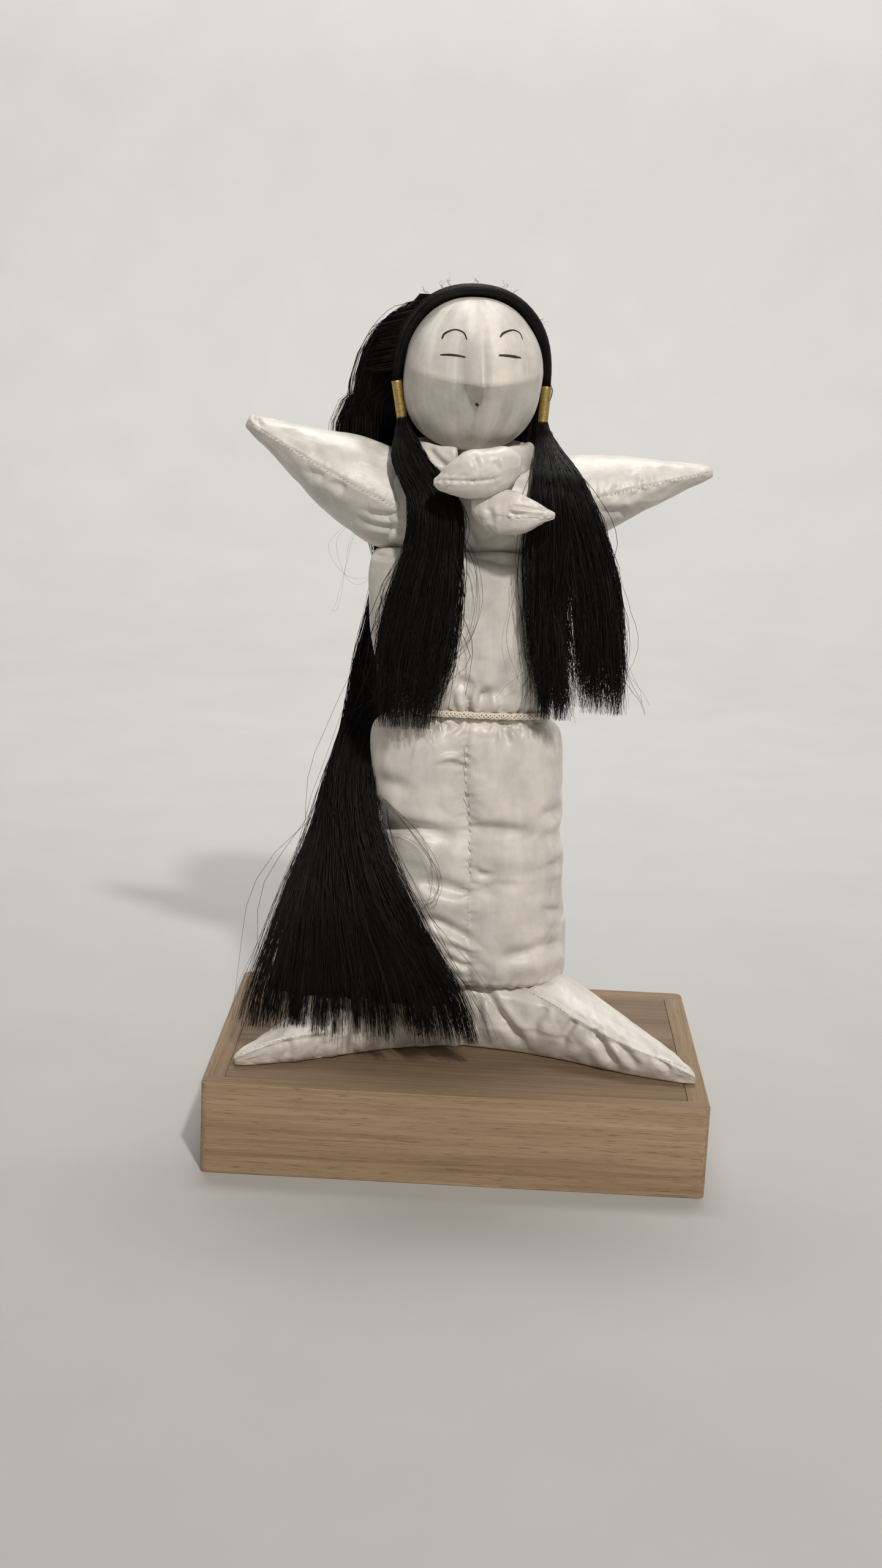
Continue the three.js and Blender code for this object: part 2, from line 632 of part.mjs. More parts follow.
function bandForm(grow) {
  const endAngle = Math.asin(bandEnd / (CROWN_RISE + outward));
  const steps = 24;
  const bandPoint = (angle) => {
    const [x, z] = ovalPoint(angle, HEAD_HALF_WIDTH + outward, CROWN_RISE + outward, 2.25);
    return new THREE.Vector3(x, 0, z);
  };
  const rings = [];
  for (let step = 0; step <= steps; step++) {
    const angle = endAngle + (Math.PI - 2 * endAngle) * step / steps;
    const spread = THREE.MathUtils.clamp((Math.sin(angle) - 0.02) / 0.5, 0, 1);
    const halfWide = THREE.MathUtils.lerp(tubeInside, BAND_WIDTH / 2, Math.sin(spread * Math.PI / 2));
    const halfThick = THREE.MathUtils.lerp(tubeInside, BAND_THICKNESS / 2, spread);
    const middle = bandPoint(angle);
    const along = bandPoint(angle + 0.01).sub(middle).normalize();
    const out = new THREE.Vector3(along.z, 0, -along.x);
    const end = step === 0 ? -1 : step === steps ? 1 : 0;
    const ring = [];
    for (let side = 0; side < 12; side++) {
      const [front, thick] = ovalPoint(2 * Math.PI * side / 12, halfWide + grow, halfThick + grow, 2.2);
      ring.push(new THREE.Vector3(0, front, 0)
        .add(middle)
        .addScaledVector(out, thick)
        .addScaledVector(along, end * grow));
    }
    rings.push(ring);
  }
  return closedSkin(rings);
}
addMesh(head, 'hair_band', cut(bandForm(0), headForm(SOFT_GAP, { faced: false })), blackHair());

const tubeRing = [
  new THREE.Vector2(tubeInside, 0),
  new THREE.Vector2(TUBE_DIAMETER / 2, 0),
  new THREE.Vector2(TUBE_DIAMETER / 2, TUBE_LENGTH),
  new THREE.Vector2(tubeInside, TUBE_LENGTH),
  new THREE.Vector2(tubeInside, 0),
];
const tubeReach = HEAD_HALF_WIDTH + outward;
for (const [name, side] of [['gold_tube_right', -1], ['gold_tube_left', 1]]) {
  const tube = new THREE.LatheGeometry(tubeRing, 20);
  tube.rotateX(Math.PI / 2);
  addMesh(head, name, tube, gilt()).position.set(side * tubeReach, 0, -TUBE_DROP);
}

// The hair inside each tube joins the band above to the lock below
for (const [name, side] of [['tube_hair_right', -1], ['tube_hair_left', 1]]) {
  const strand = uprightRod(2 * (tubeInside - JOINT_GAP), 0, TUBE_LENGTH, side * tubeReach, 0, 12);
  addMesh(head, name, strand, blackHair()).position.set(0, 0, -TUBE_DROP);
}

// The rear hair, in the doll's frame: what turns with the head, and what hangs down to the stand

const partingHeight = ridgeHeight - HAIR_PARTING_DROP;
const toHead = new THREE.Matrix4().makeRotationZ(-radians(HEAD_TURNED))
  .multiply(new THREE.Matrix4().makeTranslation(-HEAD_X, -HEAD_Y, -ridgeHeight));
const fromHead = toHead.clone().invert();

const crownAt = (share, x, y, wide, deep) => ({
  z: partingHeight + JOINT_GAP / 2 + (HAIR_PARTING_DROP + CROWN_RISE) * share,
  x: HEAD_X + HEAD_HALF_WIDTH * x,
  y: HEAD_Y + HEAD_HALF_DEPTH * y,
  wide: HEAD_HALF_WIDTH * wide,
  deep: HEAD_HALF_DEPTH * deep,
});
const crownStations = [
  crownAt(0, -0.52, 0.744, 1.253, 0.487),
  crownAt(0.207, -0.4, 0.718, 1.253, 0.538),
  crownAt(0.459, -0.328, 0.667, 1.181, 0.538),
  crownAt(0.711, -0.255, 0.538, 0.964, 0.462),
  crownAt(0.933, -0.135, 0.359, 0.651, 0.282),
  crownAt(1.022, -0.087, 0.256, 0.289, 0.128),
];
const crown = levelLoft(crownStations, { sides: 20, power: 2.2 });
crown.applyMatrix4(toHead);
addMesh(head, 'rear_hair_crown', cut(crown, headForm(SOFT_GAP), bandForm(SOFT_GAP)), blackHair());

const fallTop = partingHeight - JOINT_GAP / 2;
const fallAt = (share, x, y, wide, deep, turn) => ({
  z: THREE.MathUtils.lerp(fallTop, HAIR_FALL_END, share),
  x: LOWER_BODY_HALF_WIDTH * x,
  y: LOWER_BODY_HALF_DEPTH * y,
  wide: LOWER_BODY_HALF_WIDTH * wide,
  deep: HAIR_FALL_HALF_DEPTH * deep,
  turn,
});
const fallStations = [
  fallAt(0, -0.6, 0.892, 0.833, 2.25, 0),
  fallAt(0.038, -0.483, 1.027, 0.983, 1.75, 0),
  fallAt(0.092, -0.5, 1.216, 0.967, 1.125, 0),
  fallAt(0.168, -0.533, 1.189, 0.75, 1, 0),
  fallAt(0.244, -0.533, 1.189, 0.533, 1, 0),
  fallAt(0.347, -0.667, 1.135, 0.467, 1, -4),
  fallAt(0.412, -0.833, 1, 0.417, 1, -14),
  fallAt(0.482, -1.033, 0.811, 0.35, 1.062, -40),
  fallAt(0.556, -1.183, 0.459, 0.333, 1.125, -62),
  fallAt(0.637, -1.267, 0, 0.383, 1.125, -54),
  fallAt(0.718, -1.25, -0.459, 0.5, 1, -42),
  fallAt(0.827, -1.183, -1.027, 0.717, 0.938, -20),
  fallAt(0.927, -1.067, -1.378, 0.967, 0.875, -8),
  fallAt(1, -1.017, -1.595, 1.117, 0.875, -4),
];

// Tie round the neck: a stuffed strip that goes round behind and is knotted in front

const tieMiddle = shoulderTop - TIE_HEIGHT / 2 + 9;

function tieLoopForm(grow) {
  const rings = [];
  const start = 14;
  const steps = 30;
  for (let step = 0; step <= steps; step++) {
    const angle = radians(-90 + start + (360 - 2 * start) * step / steps);
    const facing = Math.max(0, -Math.sin(angle));
    const drop = 5 * facing ** 2;
    const [x, y] = ovalPoint(angle, TIE_HALF_WIDTH, TIE_HALF_DEPTH, 2);
    const out = new THREE.Vector3(x / TIE_HALF_WIDTH ** 2, y / TIE_HALF_DEPTH ** 2, 0).normalize();
    const along = new THREE.Vector3(-out.y, out.x, 0);
    const end = step === 0 ? -1 : step === steps ? 1 : 0;
    const narrow = 1 - 0.35 * facing ** 4;
    const ring = [];
    for (let side = 0; side < 10; side++) {
      const [thick, up] = ovalPoint(
        2 * Math.PI * side / 10,
        TIE_THICKNESS / 2 + grow,
        TIE_HEIGHT / 2 * narrow + grow,
        2.2,
      );
      ring.push(new THREE.Vector3(HEAD_X + 2 + x, HEAD_Y + y, tieMiddle - drop + up)
        .addScaledVector(out, thick)
        .addScaledVector(along, end * grow));
    }
    rings.push(ring);
  }
  return closedSkin(rings);
}
addMesh(doll, 'neck_tie_loop', cut(tieLoopForm(0), shouldersForm(SOFT_GAP), ...rootHollows), silk());

const tieAt = (x, forward, up, tall, deep) => ({
  x: TIE_HALF_WIDTH * x,
  y: bodyFront - TIE_HEIGHT * forward,
  z: pivotHeight + TIE_HEIGHT * up,
  tall: TIE_HEIGHT * tall,
  deep: TIE_HEIGHT * deep,
});
const knotStations = [
  tieAt(-0.265, 0.205, 0.682, 0.273, 0.182),
  tieAt(-0.088, 0.25, 0.727, 0.545, 0.318),
  tieAt(0.118, 0.295, 0.773, 0.682, 0.386),
  tieAt(0.353, 0.273, 0.818, 0.545, 0.318),
  tieAt(0.5, 0.227, 0.864, 0.182, 0.136),
];
const tieKnot = crossLoft(smoothStations(knotStations, 2), { sides: 14 });
const grownTieKnot = crossLoft(smoothStations(knotStations, 2), { sides: 14, grow: SOFT_GAP });
const tieTools = [shouldersForm(SOFT_GAP), tieLoopForm(SOFT_GAP)];
addMesh(doll, 'neck_tie_knot', cut(tieKnot, ...tieTools), silk());

function tieEndForm(stations, grow) {
  return crossLoft(smoothStations(stations, 2), { sides: 16, power: 1.8, grow });
}

const upperEndStations = [
  tieAt(-0.882, 1.318, 0.727, 0.073, 0.073),
  tieAt(-0.735, 1.273, 0.75, 0.273, 0.273),
  tieAt(-0.412, 1.182, 0.932, 0.614, 0.5),
  tieAt(-0.029, 1.091, 1.023, 0.682, 0.545),
  tieAt(0.353, 0.955, 1.136, 0.568, 0.477),
  tieAt(0.588, 0.818, 1.227, 0.25, 0.227),
];
const lowerEndStations = [
  tieAt(1.206, 1.273, 0, 0.073, 0.073),
  tieAt(1.059, 1.227, 0, 0.25, 0.25),
  tieAt(0.706, 1.091, 0, 0.5, 0.455),
  tieAt(0.353, 0.955, 0.068, 0.545, 0.455),
  tieAt(0.029, 0.818, 0.159, 0.432, 0.364),
  tieAt(-0.176, 0.727, 0.227, 0.205, 0.182),
];
const grownUpperEnd = tieEndForm(upperEndStations, SOFT_GAP);
const grownLowerEnd = tieEndForm(lowerEndStations, SOFT_GAP);
const upperEnd = cut(tieEndForm(upperEndStations, 0), grownTieKnot, ...tieTools);
const lowerEnd = cut(tieEndForm(lowerEndStations, 0), grownTieKnot, grownUpperEnd, ...tieTools);
addMesh(doll, 'neck_tie_upper_end', upperEnd, silk());
addMesh(doll, 'neck_tie_lower_end', lowerEnd, silk());

// Hanging rear hair, cut to lie against everything that it touches

const grownLegs = [legForm(-1, SOFT_GAP), legForm(1, SOFT_GAP)];
const headRoom = headForm(TURNING_GAP + 1);
headRoom.applyMatrix4(fromHead);
const fall = levelLoft(smoothStations(fallStations, 2), { sides: 14, power: 2.1 });
addMesh(doll, 'rear_hair_fall', cut(
  fall,
  headRoom,
  tieLoopForm(SOFT_GAP),
  shouldersForm(SOFT_GAP),
  grownTorso,
  grownLowerBody,
  cordRoom,
  ...grownLegs,
  ...rootHollows,
), blackHair());

// Side locks: each leaves its gold tube and hangs over the chest to the waist

const lockTop = ridgeHeight - TUBE_DROP - JOINT_GAP;
const lockY = bodyFront - LOCK_THICKNESS / 2 - 1;
const tubeX = tubeReach * Math.cos(radians(HEAD_TURNED));
const tubeY = tubeReach * Math.sin(radians(HEAD_TURNED));

// Below its tube a lock first follows the tube, and then hangs in front of the torso
const lockSection = (share, wide, deep) => ({
  z: lockTop - LOCK_LENGTH * share,
  wide: LOCK_HALF_WIDTH * wide,
  deep: LOCK_THICKNESS / 2 * deep,
});
const lockRootAt = (side, share, x, y, wide, deep) => ({
  ...lockSection(share, wide, deep),
  x: HEAD_X + side * tubeX + LOCK_THICKNESS * x,
  y: HEAD_Y + side * tubeY + LOCK_THICKNESS * y,
});
const lockAt = (share, x, y, wide, deep) => ({
  ...lockSection(share, wide, deep),
  x: SHOULDER_X + TORSO_HALF_WIDTH * x,
  y: lockY + LOCK_THICKNESS * y,
});

const rightLockStations = [
  lockRootAt(-1, 0, 0, 0, 0.119, 0.467),
  lockRootAt(-1, 0.047, 0.25, -0.5, 0.234, 0.667),
  lockAt(0.129, -0.605, 1.167, 0.447, 1),
  lockAt(0.271, -0.387, 0, 0.66, 1),
  lockAt(0.482, -0.353, -0.083, 0.851, 1),
  lockAt(0.753, -0.471, -0.083, 1, 0.9),
  lockAt(1, -0.605, 0, 0.979, 0.7),
];
const leftOuterStations = [
  lockRootAt(1, 0, 0, 0, 0.119, 0.467),
  lockRootAt(1, 0.059, 0.333, -0.917, 0.234, 0.667),
  lockAt(0.182, 0.958, 0.5, 0.383, 1),
  lockAt(0.4, 1.176, 0, 0.553, 1),
  lockAt(0.676, 1.345, 0.167, 0.511, 0.9),
  lockAt(0.965, 1.471, 0.333, 0.447, 0.7),
];
const leftInnerStations = [
  lockRootAt(1, 0, 0, 0, 0.119, 0.467),
  lockRootAt(1, 0.059, 0.167, -1, 0.213, 0.667),
  lockAt(0.182, 0.756, 0.25, 0.383, 1),
  lockAt(0.4, 0.824, 0, 0.553, 1),
  lockAt(0.676, 0.874, 0, 0.553, 0.9),
  lockAt(0.965, 0.941, 0.083, 0.553, 0.7),
];

const lockTools = [grownTorso, ...tieTools, grownTieKnot, grownUpperEnd, grownLowerEnd, ...rootHollows];
const lockForm = (stations) => levelLoft(smoothStations(stations, 2), { sides: 14, power: 2.2 });
addMesh(doll, 'side_lock_right', cut(lockForm(rightLockStations), ...lockTools), blackHair());
const leftLock = join(lockForm(leftOuterStations), lockForm(leftInnerStations));
addMesh(doll, 'side_lock_left', cut(leftLock, ...lockTools), blackHair());

const model = new THREE.Group();
model.add(stand, doll);

export default model;
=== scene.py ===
# %% [markdown]
# # A stuffed silk doll with long black hair, on a wooden stand
#
# The real object is sewn by hand from white satin silk over soft filling. It has an egg-shaped
# head with a sharp ridge at the nose, pointed arms and legs, a braided cord at the waist, a
# knotted tie at the neck, and long black hair held by two gold tubes. This lesson dresses a
# imported solid model: every piece is made where the solid lies, and most then ride on a body.

import math

import bmesh
import bpy
import numpy as np
from mathutils import Matrix, Vector
from mathutils.bvhtree import BVHTree


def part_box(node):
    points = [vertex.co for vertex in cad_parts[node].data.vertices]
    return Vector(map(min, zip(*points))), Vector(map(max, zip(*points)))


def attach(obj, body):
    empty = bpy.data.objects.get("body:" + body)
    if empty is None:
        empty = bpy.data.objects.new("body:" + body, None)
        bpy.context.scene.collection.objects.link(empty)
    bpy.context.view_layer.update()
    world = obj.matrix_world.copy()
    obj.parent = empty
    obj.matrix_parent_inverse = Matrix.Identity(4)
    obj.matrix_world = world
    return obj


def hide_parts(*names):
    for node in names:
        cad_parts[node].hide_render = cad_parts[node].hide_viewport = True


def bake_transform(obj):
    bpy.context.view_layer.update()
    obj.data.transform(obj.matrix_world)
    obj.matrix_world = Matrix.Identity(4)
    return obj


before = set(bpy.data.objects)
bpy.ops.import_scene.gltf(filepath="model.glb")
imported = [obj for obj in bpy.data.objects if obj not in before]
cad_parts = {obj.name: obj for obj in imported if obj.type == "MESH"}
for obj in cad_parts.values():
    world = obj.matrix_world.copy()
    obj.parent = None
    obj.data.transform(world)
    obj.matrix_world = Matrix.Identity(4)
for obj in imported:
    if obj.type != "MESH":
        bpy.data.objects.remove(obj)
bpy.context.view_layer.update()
scene = bpy.context.scene
MM = 0.001
STAND_TOP = 57 * MM

# %% [markdown]
# ## The camera
#
# The camera stands a little above the doll's face and looks down by 13 degrees. Its place and
# lens were worked out from the edges of the stand, so that the stand and the doll fall on the
# same places in the picture.

# %% Place the camera
CAMERA_PLACE = Vector((0.005755, -1.212149, 0.503134))
CAMERA_RIGHT = Vector((0.99855695, 0.03060074, 0.04413177))
CAMERA_UP = Vector((-0.04989718, 0.22481594, 0.97312284))
CAMERA_BACK = Vector((0.01985676, -0.97392063, 0.22601841))

camera = bpy.data.objects.new("camera", bpy.data.cameras.new("camera"))
camera.data.sensor_width = 36
camera.data.lens = 45.72
camera_turn = Matrix((CAMERA_RIGHT, CAMERA_UP, CAMERA_BACK)).transposed().to_4x4()
camera.matrix_world = Matrix.Translation(CAMERA_PLACE) @ camera_turn
scene.collection.objects.link(camera)
scene.camera = camera
print("camera placed, with a lens of", camera.data.lens, "mm")

# %% [markdown]
# ## Working by hand, in code
#
# Operators act on whatever is selected, so each piece begins with nothing selected. A finished
# piece has its place in its mesh and its object at the origin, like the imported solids. Points
# are handled as rows of arrays.

# %% Small helpers for pieces
def deselect_all():
    if bpy.context.object and bpy.context.object.mode != "OBJECT":
        bpy.ops.object.mode_set(mode="OBJECT")
    bpy.ops.object.select_all(action="DESELECT")


def take_up(piece):
    deselect_all()
    piece.select_set(True)
    bpy.context.view_layer.objects.active = piece


def put_down(piece, name):
    """Gives the piece its name and moves its place, turn and scale into its mesh."""
    take_up(piece)
    piece.name = piece.data.name = name
    bpy.ops.object.transform_apply(location=True, rotation=True, scale=True)
    return piece


def open_mesh():
    """Goes into edit mode with everything selected."""
    bpy.ops.object.mode_set(mode="EDIT")
    bpy.ops.mesh.select_all(action="SELECT")


def close_mesh():
    bpy.ops.object.mode_set(mode="OBJECT")


def apply_modifier(piece, kind, **settings):
    take_up(piece)
    modifier = piece.modifiers.new(kind.lower(), kind)
    for key, value in settings.items():
        setattr(modifier, key, value)
    bpy.ops.object.modifier_apply(modifier=modifier.name)


def new_piece(name, points=(), faces=()):
    mesh = bpy.data.meshes.new(name)
    mesh.from_pydata([tuple(point) for point in points], [], faces)
    piece = bpy.data.objects.new(name, mesh)
    scene.collection.objects.link(piece)
    return piece


def clothe(piece, material, body=None, replaced=()):
    """Gives a piece its material and its body, and hides the solids it stands for."""
    piece.data.materials.clear()
    piece.data.materials.append(material)
    if body:
        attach(piece, body)
    if replaced:
        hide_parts(*replaced)
    print(f"{piece.name}: {len(piece.data.polygons)} faces")
    return piece


def points_of(piece, what="co"):
    """The points of a piece in metres, or with "normal" their outward directions."""
    flat = np.empty(len(piece.data.vertices) * 3)
    piece.data.vertices.foreach_get(what, flat)
    return flat.reshape(-1, 3)


def set_points(piece, points):
    piece.data.vertices.foreach_set("co", np.ascontiguousarray(points).ravel())
    piece.data.update()


def push_out(piece, push):
    """Moves each point along its outward direction, by its own number of mm."""
    set_points(piece, points_of(piece) + points_of(piece, "normal") * (push * MM)[:, None])


# %% Small helpers for numbers
def above_stand(places):
    """Places in mm above the stand, in metres in the room."""
    return np.asarray(places) * MM + (0, 0, STAND_TOP)


def unit(ways):
    """The same directions, with length one."""
    return ways / (np.linalg.norm(ways, axis=-1, keepdims=True) + 1e-12)


def walked_along(places):
    """How far along a row of places each of them lies."""
    return np.concatenate([[0], np.cumsum(np.linalg.norm(np.diff(places, axis=0), axis=1))])


def near(distance, reach):
    """1 on a line and 0 further away than reach."""
    return np.clip(1 - np.abs(distance) / reach, 0, 1)


def smooth(value):
    value = np.clip(value, 0, 1)
    return value * value * (3 - 2 * value)


def bent(value, power):
    """Cosines and sines bent so that a circle becomes a squarer oval."""
    return np.sign(value) * np.abs(value) ** (2 / power)


# %% [markdown]
# ## The room
#
# The doll stands on a plain pale floor that curves up into a wall all round, so that every view
# has the same quiet background. A key light from the upper right front gives the soft shadows
# under the tie and the ridge of the face. A wide one behind lights the wall, whose pale colour
# fills the rest, together with a faint light from the left.

# %% Floor and lights
FLOOR_RADIUS = 1.7
BEND_RADIUS = 0.9
BEND_STEPS = 8

deselect_all()
bpy.ops.mesh.primitive_circle_add(vertices=96, radius=FLOOR_RADIUS, fill_type="NGON")
floor = bpy.context.object
open_mesh()
bpy.ops.mesh.region_to_loop()
radius = FLOOR_RADIUS
bends = [math.radians(90 * step / BEND_STEPS) for step in range(BEND_STEPS + 1)]
for before, bend in zip(bends, bends[1:]):
    wider = (FLOOR_RADIUS + BEND_RADIUS * math.sin(bend)) / radius
    rise = BEND_RADIUS * (math.cos(before) - math.cos(bend))
    bpy.ops.mesh.extrude_region_move(TRANSFORM_OT_translate={"value": (0, 0, rise)})
    bpy.ops.transform.resize(value=(wider, wider, 1), center_override=(0, 0, 0))
    radius *= wider
bpy.ops.mesh.extrude_region_move(TRANSFORM_OT_translate={"value": (0, 0, 2.2)})
close_mesh()
put_down(floor, "floor")
bpy.ops.object.shade_smooth()


def add_light(name, place, aim, size, power, colour=(1, 1, 1)):
    light = bpy.data.objects.new(name, bpy.data.lights.new(name, "AREA"))
    light.data.shape = "DISK"
    light.data.size = size
    light.data.energy = power
    light.data.color = colour
    light.location = place
    light.rotation_mode = "QUATERNION"
    light.rotation_quaternion = (Vector(aim) - Vector(place)).to_track_quat("-Z", "Y")
    scene.collection.objects.link(light)


add_light("key", (0.62, -2.05, 2.3), (0, 0, 0.28), 0.16, 60, (1, 0.965, 0.91))
add_light("fill", (-1.5, -1.4, 1.0), (0, 0, 0.25), 1.6, 0.2, (0.95, 0.98, 1))
add_light("back", (0, 0.9, 2.6), (0, 2.6, 0.9), 1.6, 84)
world = bpy.data.worlds.new("room")
world.use_nodes = True
world.node_tree.nodes["Background"].inputs["Color"].default_value = (0.9, 0.92, 0.95, 1)
world.node_tree.nodes["Background"].inputs["Strength"].default_value = 0.03
scene.world = world
scene.view_settings.view_transform = "Standard"
print("three lights: a key, one for the wall and a faint fill")

# %% [markdown]
# ## Materials as small machines
#
# Each finish is a node tree. What several finishes share, such as fine grain or woven threads,
# is a node group with named sockets. The Principled shader itself stays in each material, and
# its plain values are set on its own sockets.

# %% Helpers for node trees
def feed(tree, socket, value):
    """Links an output to a socket, or sets the socket's plain value."""
    if isinstance(value, bpy.types.NodeSocket):
        tree.links.new(value, socket)
    else:
        socket.default_value = value


def node(tree, kind, **settings):
    """A new node. Settings with a capital are its sockets, the others its properties."""
    made = tree.nodes.new("ShaderNode" + kind)
    for key, value in settings.items():
        if key[0].isupper():
            feed(tree, made.inputs[key.replace("_", " ")], value)
        else:
            setattr(made, key, value)
    return made


def new_material(name):
    """A material, its node tree and its texture coordinates."""
    material = bpy.data.materials.new(name)
    material.use_nodes = True
    return material, material.node_tree, node(material.node_tree, "TexCoord").outputs


def set_shader(tree, **values):
    for key, value in values.items():
        feed(tree, tree.nodes["Principled BSDF"].inputs[key.replace("_", " ")], value)


def new_group(name, *colours):
    """A group: a vector and named colours go in, a colour, a roughness and a height come out."""
    group = bpy.data.node_groups.new(name, "ShaderNodeTree")
    group.interface.new_socket("Vector", in_out="INPUT", socket_type="NodeSocketVector")
    for label in colours:
        group.interface.new_socket(label, in_out="INPUT", socket_type="NodeSocketColor")
    for label, kind in (("Color", "Color"), ("Roughness", "Float"), ("Height", "Float")):
        group.interface.new_socket(label, in_out="OUTPUT", socket_type="NodeSocket" + kind)
    return group, group.nodes.new("NodeGroupInput").outputs, group.nodes.new("NodeGroupOutput").inputs


def stretched_noise(tree, vector, scale, detail=4.0, roughness=0.55):
    """Noise whose grain is drawn out: scale holds one value for each axis, in features per metre."""
    place = node(tree, "Mapping", Vector=vector, Scale=scale).outputs["Vector"]
    return node(tree, "TexNoise", Vector=place, Scale=1, Detail=detail, Roughness=roughness).outputs["Fac"]


def remap(tree, value, low, high, to_low=0.0, to_high=1.0):
    made = node(tree, "MapRange", Value=value, From_Min=low, From_Max=high, To_Min=to_low, To_Max=to_high)
    return made.outputs["Result"]


def maths(tree, operation, first, second):
    made = node(tree, "Math", operation=operation)
    feed(tree, made.inputs[0], first)
    feed(tree, made.inputs[1], second)
    return made.outputs[0]


def mix_colours(tree, factor, first, second):
    made = node(tree, "Mix", data_type="RGBA")
    for index, value in ((0, factor), (6, first), (7, second)):
        feed(tree, made.inputs[index], value)
    return made.outputs[2]


# %% [markdown]
# ## Wood
#
# The stand is plain sawn wood, probably paulownia, with no varnish. Its grain runs along each
# board in fine light and dark lines, with short dark pores. One group draws the grain along its
# own X axis, and each material turns the coordinates so that the grain follows the board. The
# faces of the boards that point up are painted darker: painted shade, as the tops catch less light.

# %% The wood group and its materials
grain, grain_in, grain_out = new_group("straight grain", "Light", "Dark")
along = grain_in["Vector"]
bands = remap(grain, stretched_noise(grain, along, (2.2, 38, 60), 3), 0.32, 0.68)
fibres = remap(grain, stretched_noise(grain, along, (9, 420, 420), 5, 0.65), 0.3, 0.7)
pores = remap(grain, stretched_noise(grain, along, (75, 1300, 1300), 2), 0.6, 0.7)
figure = maths(grain, "ADD", maths(grain, "MULTIPLY", bands, 0.45), maths(grain, "MULTIPLY", fibres, 0.55))
body_colour = mix_colours(grain, figure, grain_in["Dark"], grain_in["Light"])
pored = mix_colours(grain, maths(grain, "MULTIPLY", pores, 0.6), body_colour, (0.14, 0.085, 0.045, 1))
raised = maths(grain, "SUBTRACT", maths(grain, "MULTIPLY", fibres, 0.6), maths(grain, "MULTIPLY", pores, 0.8))
feed(grain, grain_out["Color"], pored)
feed(grain, grain_out["Roughness"], remap(grain, fibres, 0, 1, 0.78, 0.62))
feed(grain, grain_out["Height"], raised)


def wood_material(name, light, dark, turn=0.0, shift=0.0, shaded_top=0.0):
    material, tree, place = new_material(name)
    turned = node(tree, "Mapping", Vector=place["Object"], Rotation=(0, 0, math.radians(turn)),
                  Location=(shift, shift * 0.37, shift * 0.61)).outputs["Vector"]
    wood = node(tree, "Group", node_tree=grain, Vector=turned, Light=light, Dark=dark).outputs
    # Faces that point up are mixed towards dark brown: painted shade for tops that catch less light.
    upward = node(tree, "SeparateXYZ", Vector=node(tree, "NewGeometry").outputs["Normal"]).outputs["Z"]
    painted_shade_on_top = remap(tree, upward, 0.75, 0.95, 0, shaded_top)
    bump = node(tree, "Bump", Strength=0.5, Distance=0.0003, Height=wood["Height"])
    set_shader(tree, Base_Color=mix_colours(tree, painted_shade_on_top, wood["Color"], (0.1, 0.068, 0.044, 1)),
               Roughness=wood["Roughness"], Specular_IOR_Level=0.3, Normal=bump.outputs["Normal"])
    return material


STAND_LIGHT = (0.49, 0.345, 0.215, 1)
STAND_DARK = (0.2, 0.127, 0.07, 1)
front_wood = wood_material("stand wood front", STAND_LIGHT, STAND_DARK, shift=0.3, shaded_top=0.4)
back_wood = wood_material("stand wood back", STAND_LIGHT, STAND_DARK, shift=1.9, shaded_top=0.4)
# The panel's wood is darker: a little of it is its own tone, most is painted shade, as the top catches less
# light.
shaded_panel_wood = wood_material("stand wood panel", (0.25, 0.17, 0.108, 1), (0.11, 0.07, 0.042, 1), shift=3.1)
side_wood = wood_material("stand wood sides", STAND_LIGHT, STAND_DARK, turn=90, shift=4.7, shaded_top=0.4)
inner_wood = wood_material("inner wood", (0.62, 0.46, 0.29, 1), (0.48, 0.33, 0.19, 1), shift=6.2)

# %% [markdown]
# ## Silk
#
# Satin silk is white with a pearl sheen. Its threads run along and across the cloth, some a
# little thicker, and the surface is faintly clouded with grey and cream. Paler streaks along it are
# painted sheen. The group reads the piece's own UV map, which is laid out in metres, so the threads have the
# same size everywhere.

# %% The silk group and its material
weave, weave_in, weave_out = new_group("satin weave", "Bright", "Shaded")
cloth = weave_in["Vector"]
warp = stretched_noise(weave, cloth, (2600, 160, 1), 3)
weft = stretched_noise(weave, cloth, (190, 2100, 1), 3)
slub = remap(weave, stretched_noise(weave, cloth, (420, 26, 1), 2), 0.55, 0.8)
cloud = remap(weave, stretched_noise(weave, cloth, (48, 48, 1), 4, 0.6), 0.36, 0.66)
threads = maths(weave, "MULTIPLY", maths(weave, "ADD", warp, weft), 0.5)
tone = maths(weave, "ADD", maths(weave, "MULTIPLY", cloud, 0.65), maths(weave, "MULTIPLY", threads, 0.5))
raised = maths(weave, "ADD", threads, maths(weave, "MULTIPLY", slub, 0.5))
feed(weave, weave_out["Color"], mix_colours(weave, tone, weave_in["Shaded"], weave_in["Bright"]))
feed(weave, weave_out["Roughness"], remap(weave, threads, 0.3, 0.7, 0.52, 0.33))
feed(weave, weave_out["Height"], raised)


def silk_material(name, bright, shaded, crumple=0.07, dull=0.0, painted_sheen=0.28):
    material, tree, place = new_material(name)
    silk = node(tree, "Group", node_tree=weave, Vector=place["UV"], Bright=bright, Shaded=shaded).outputs
    # Paler streaks mixed into the colour are painted sheen.
    patches = remap(tree, stretched_noise(tree, place["UV"], (75, 17, 1), 3, 0.5), 0.47, 0.68)
    sheen_share = maths(tree, "MULTIPLY", patches, painted_sheen)
    sheen_painted_colour = mix_colours(tree, sheen_share, silk["Color"], (0.9, 0.87, 0.82, 1))
    fine = node(tree, "Bump", Strength=0.5, Distance=0.0002, Height=silk["Height"]).outputs["Normal"]
    creases = stretched_noise(tree, place["UV"], (95, 55, 1), 3, 0.5)
    broad = node(tree, "Bump", Strength=crumple, Distance=0.0025, Height=creases, Normal=fine)
    set_shader(tree, Base_Color=sheen_painted_colour, Roughness=maths(tree, "ADD", silk["Roughness"], dull),
               Specular_IOR_Level=0.65, Sheen_Weight=0.15, Sheen_Roughness=0.35,
               Normal=broad.outputs["Normal"])
    return material
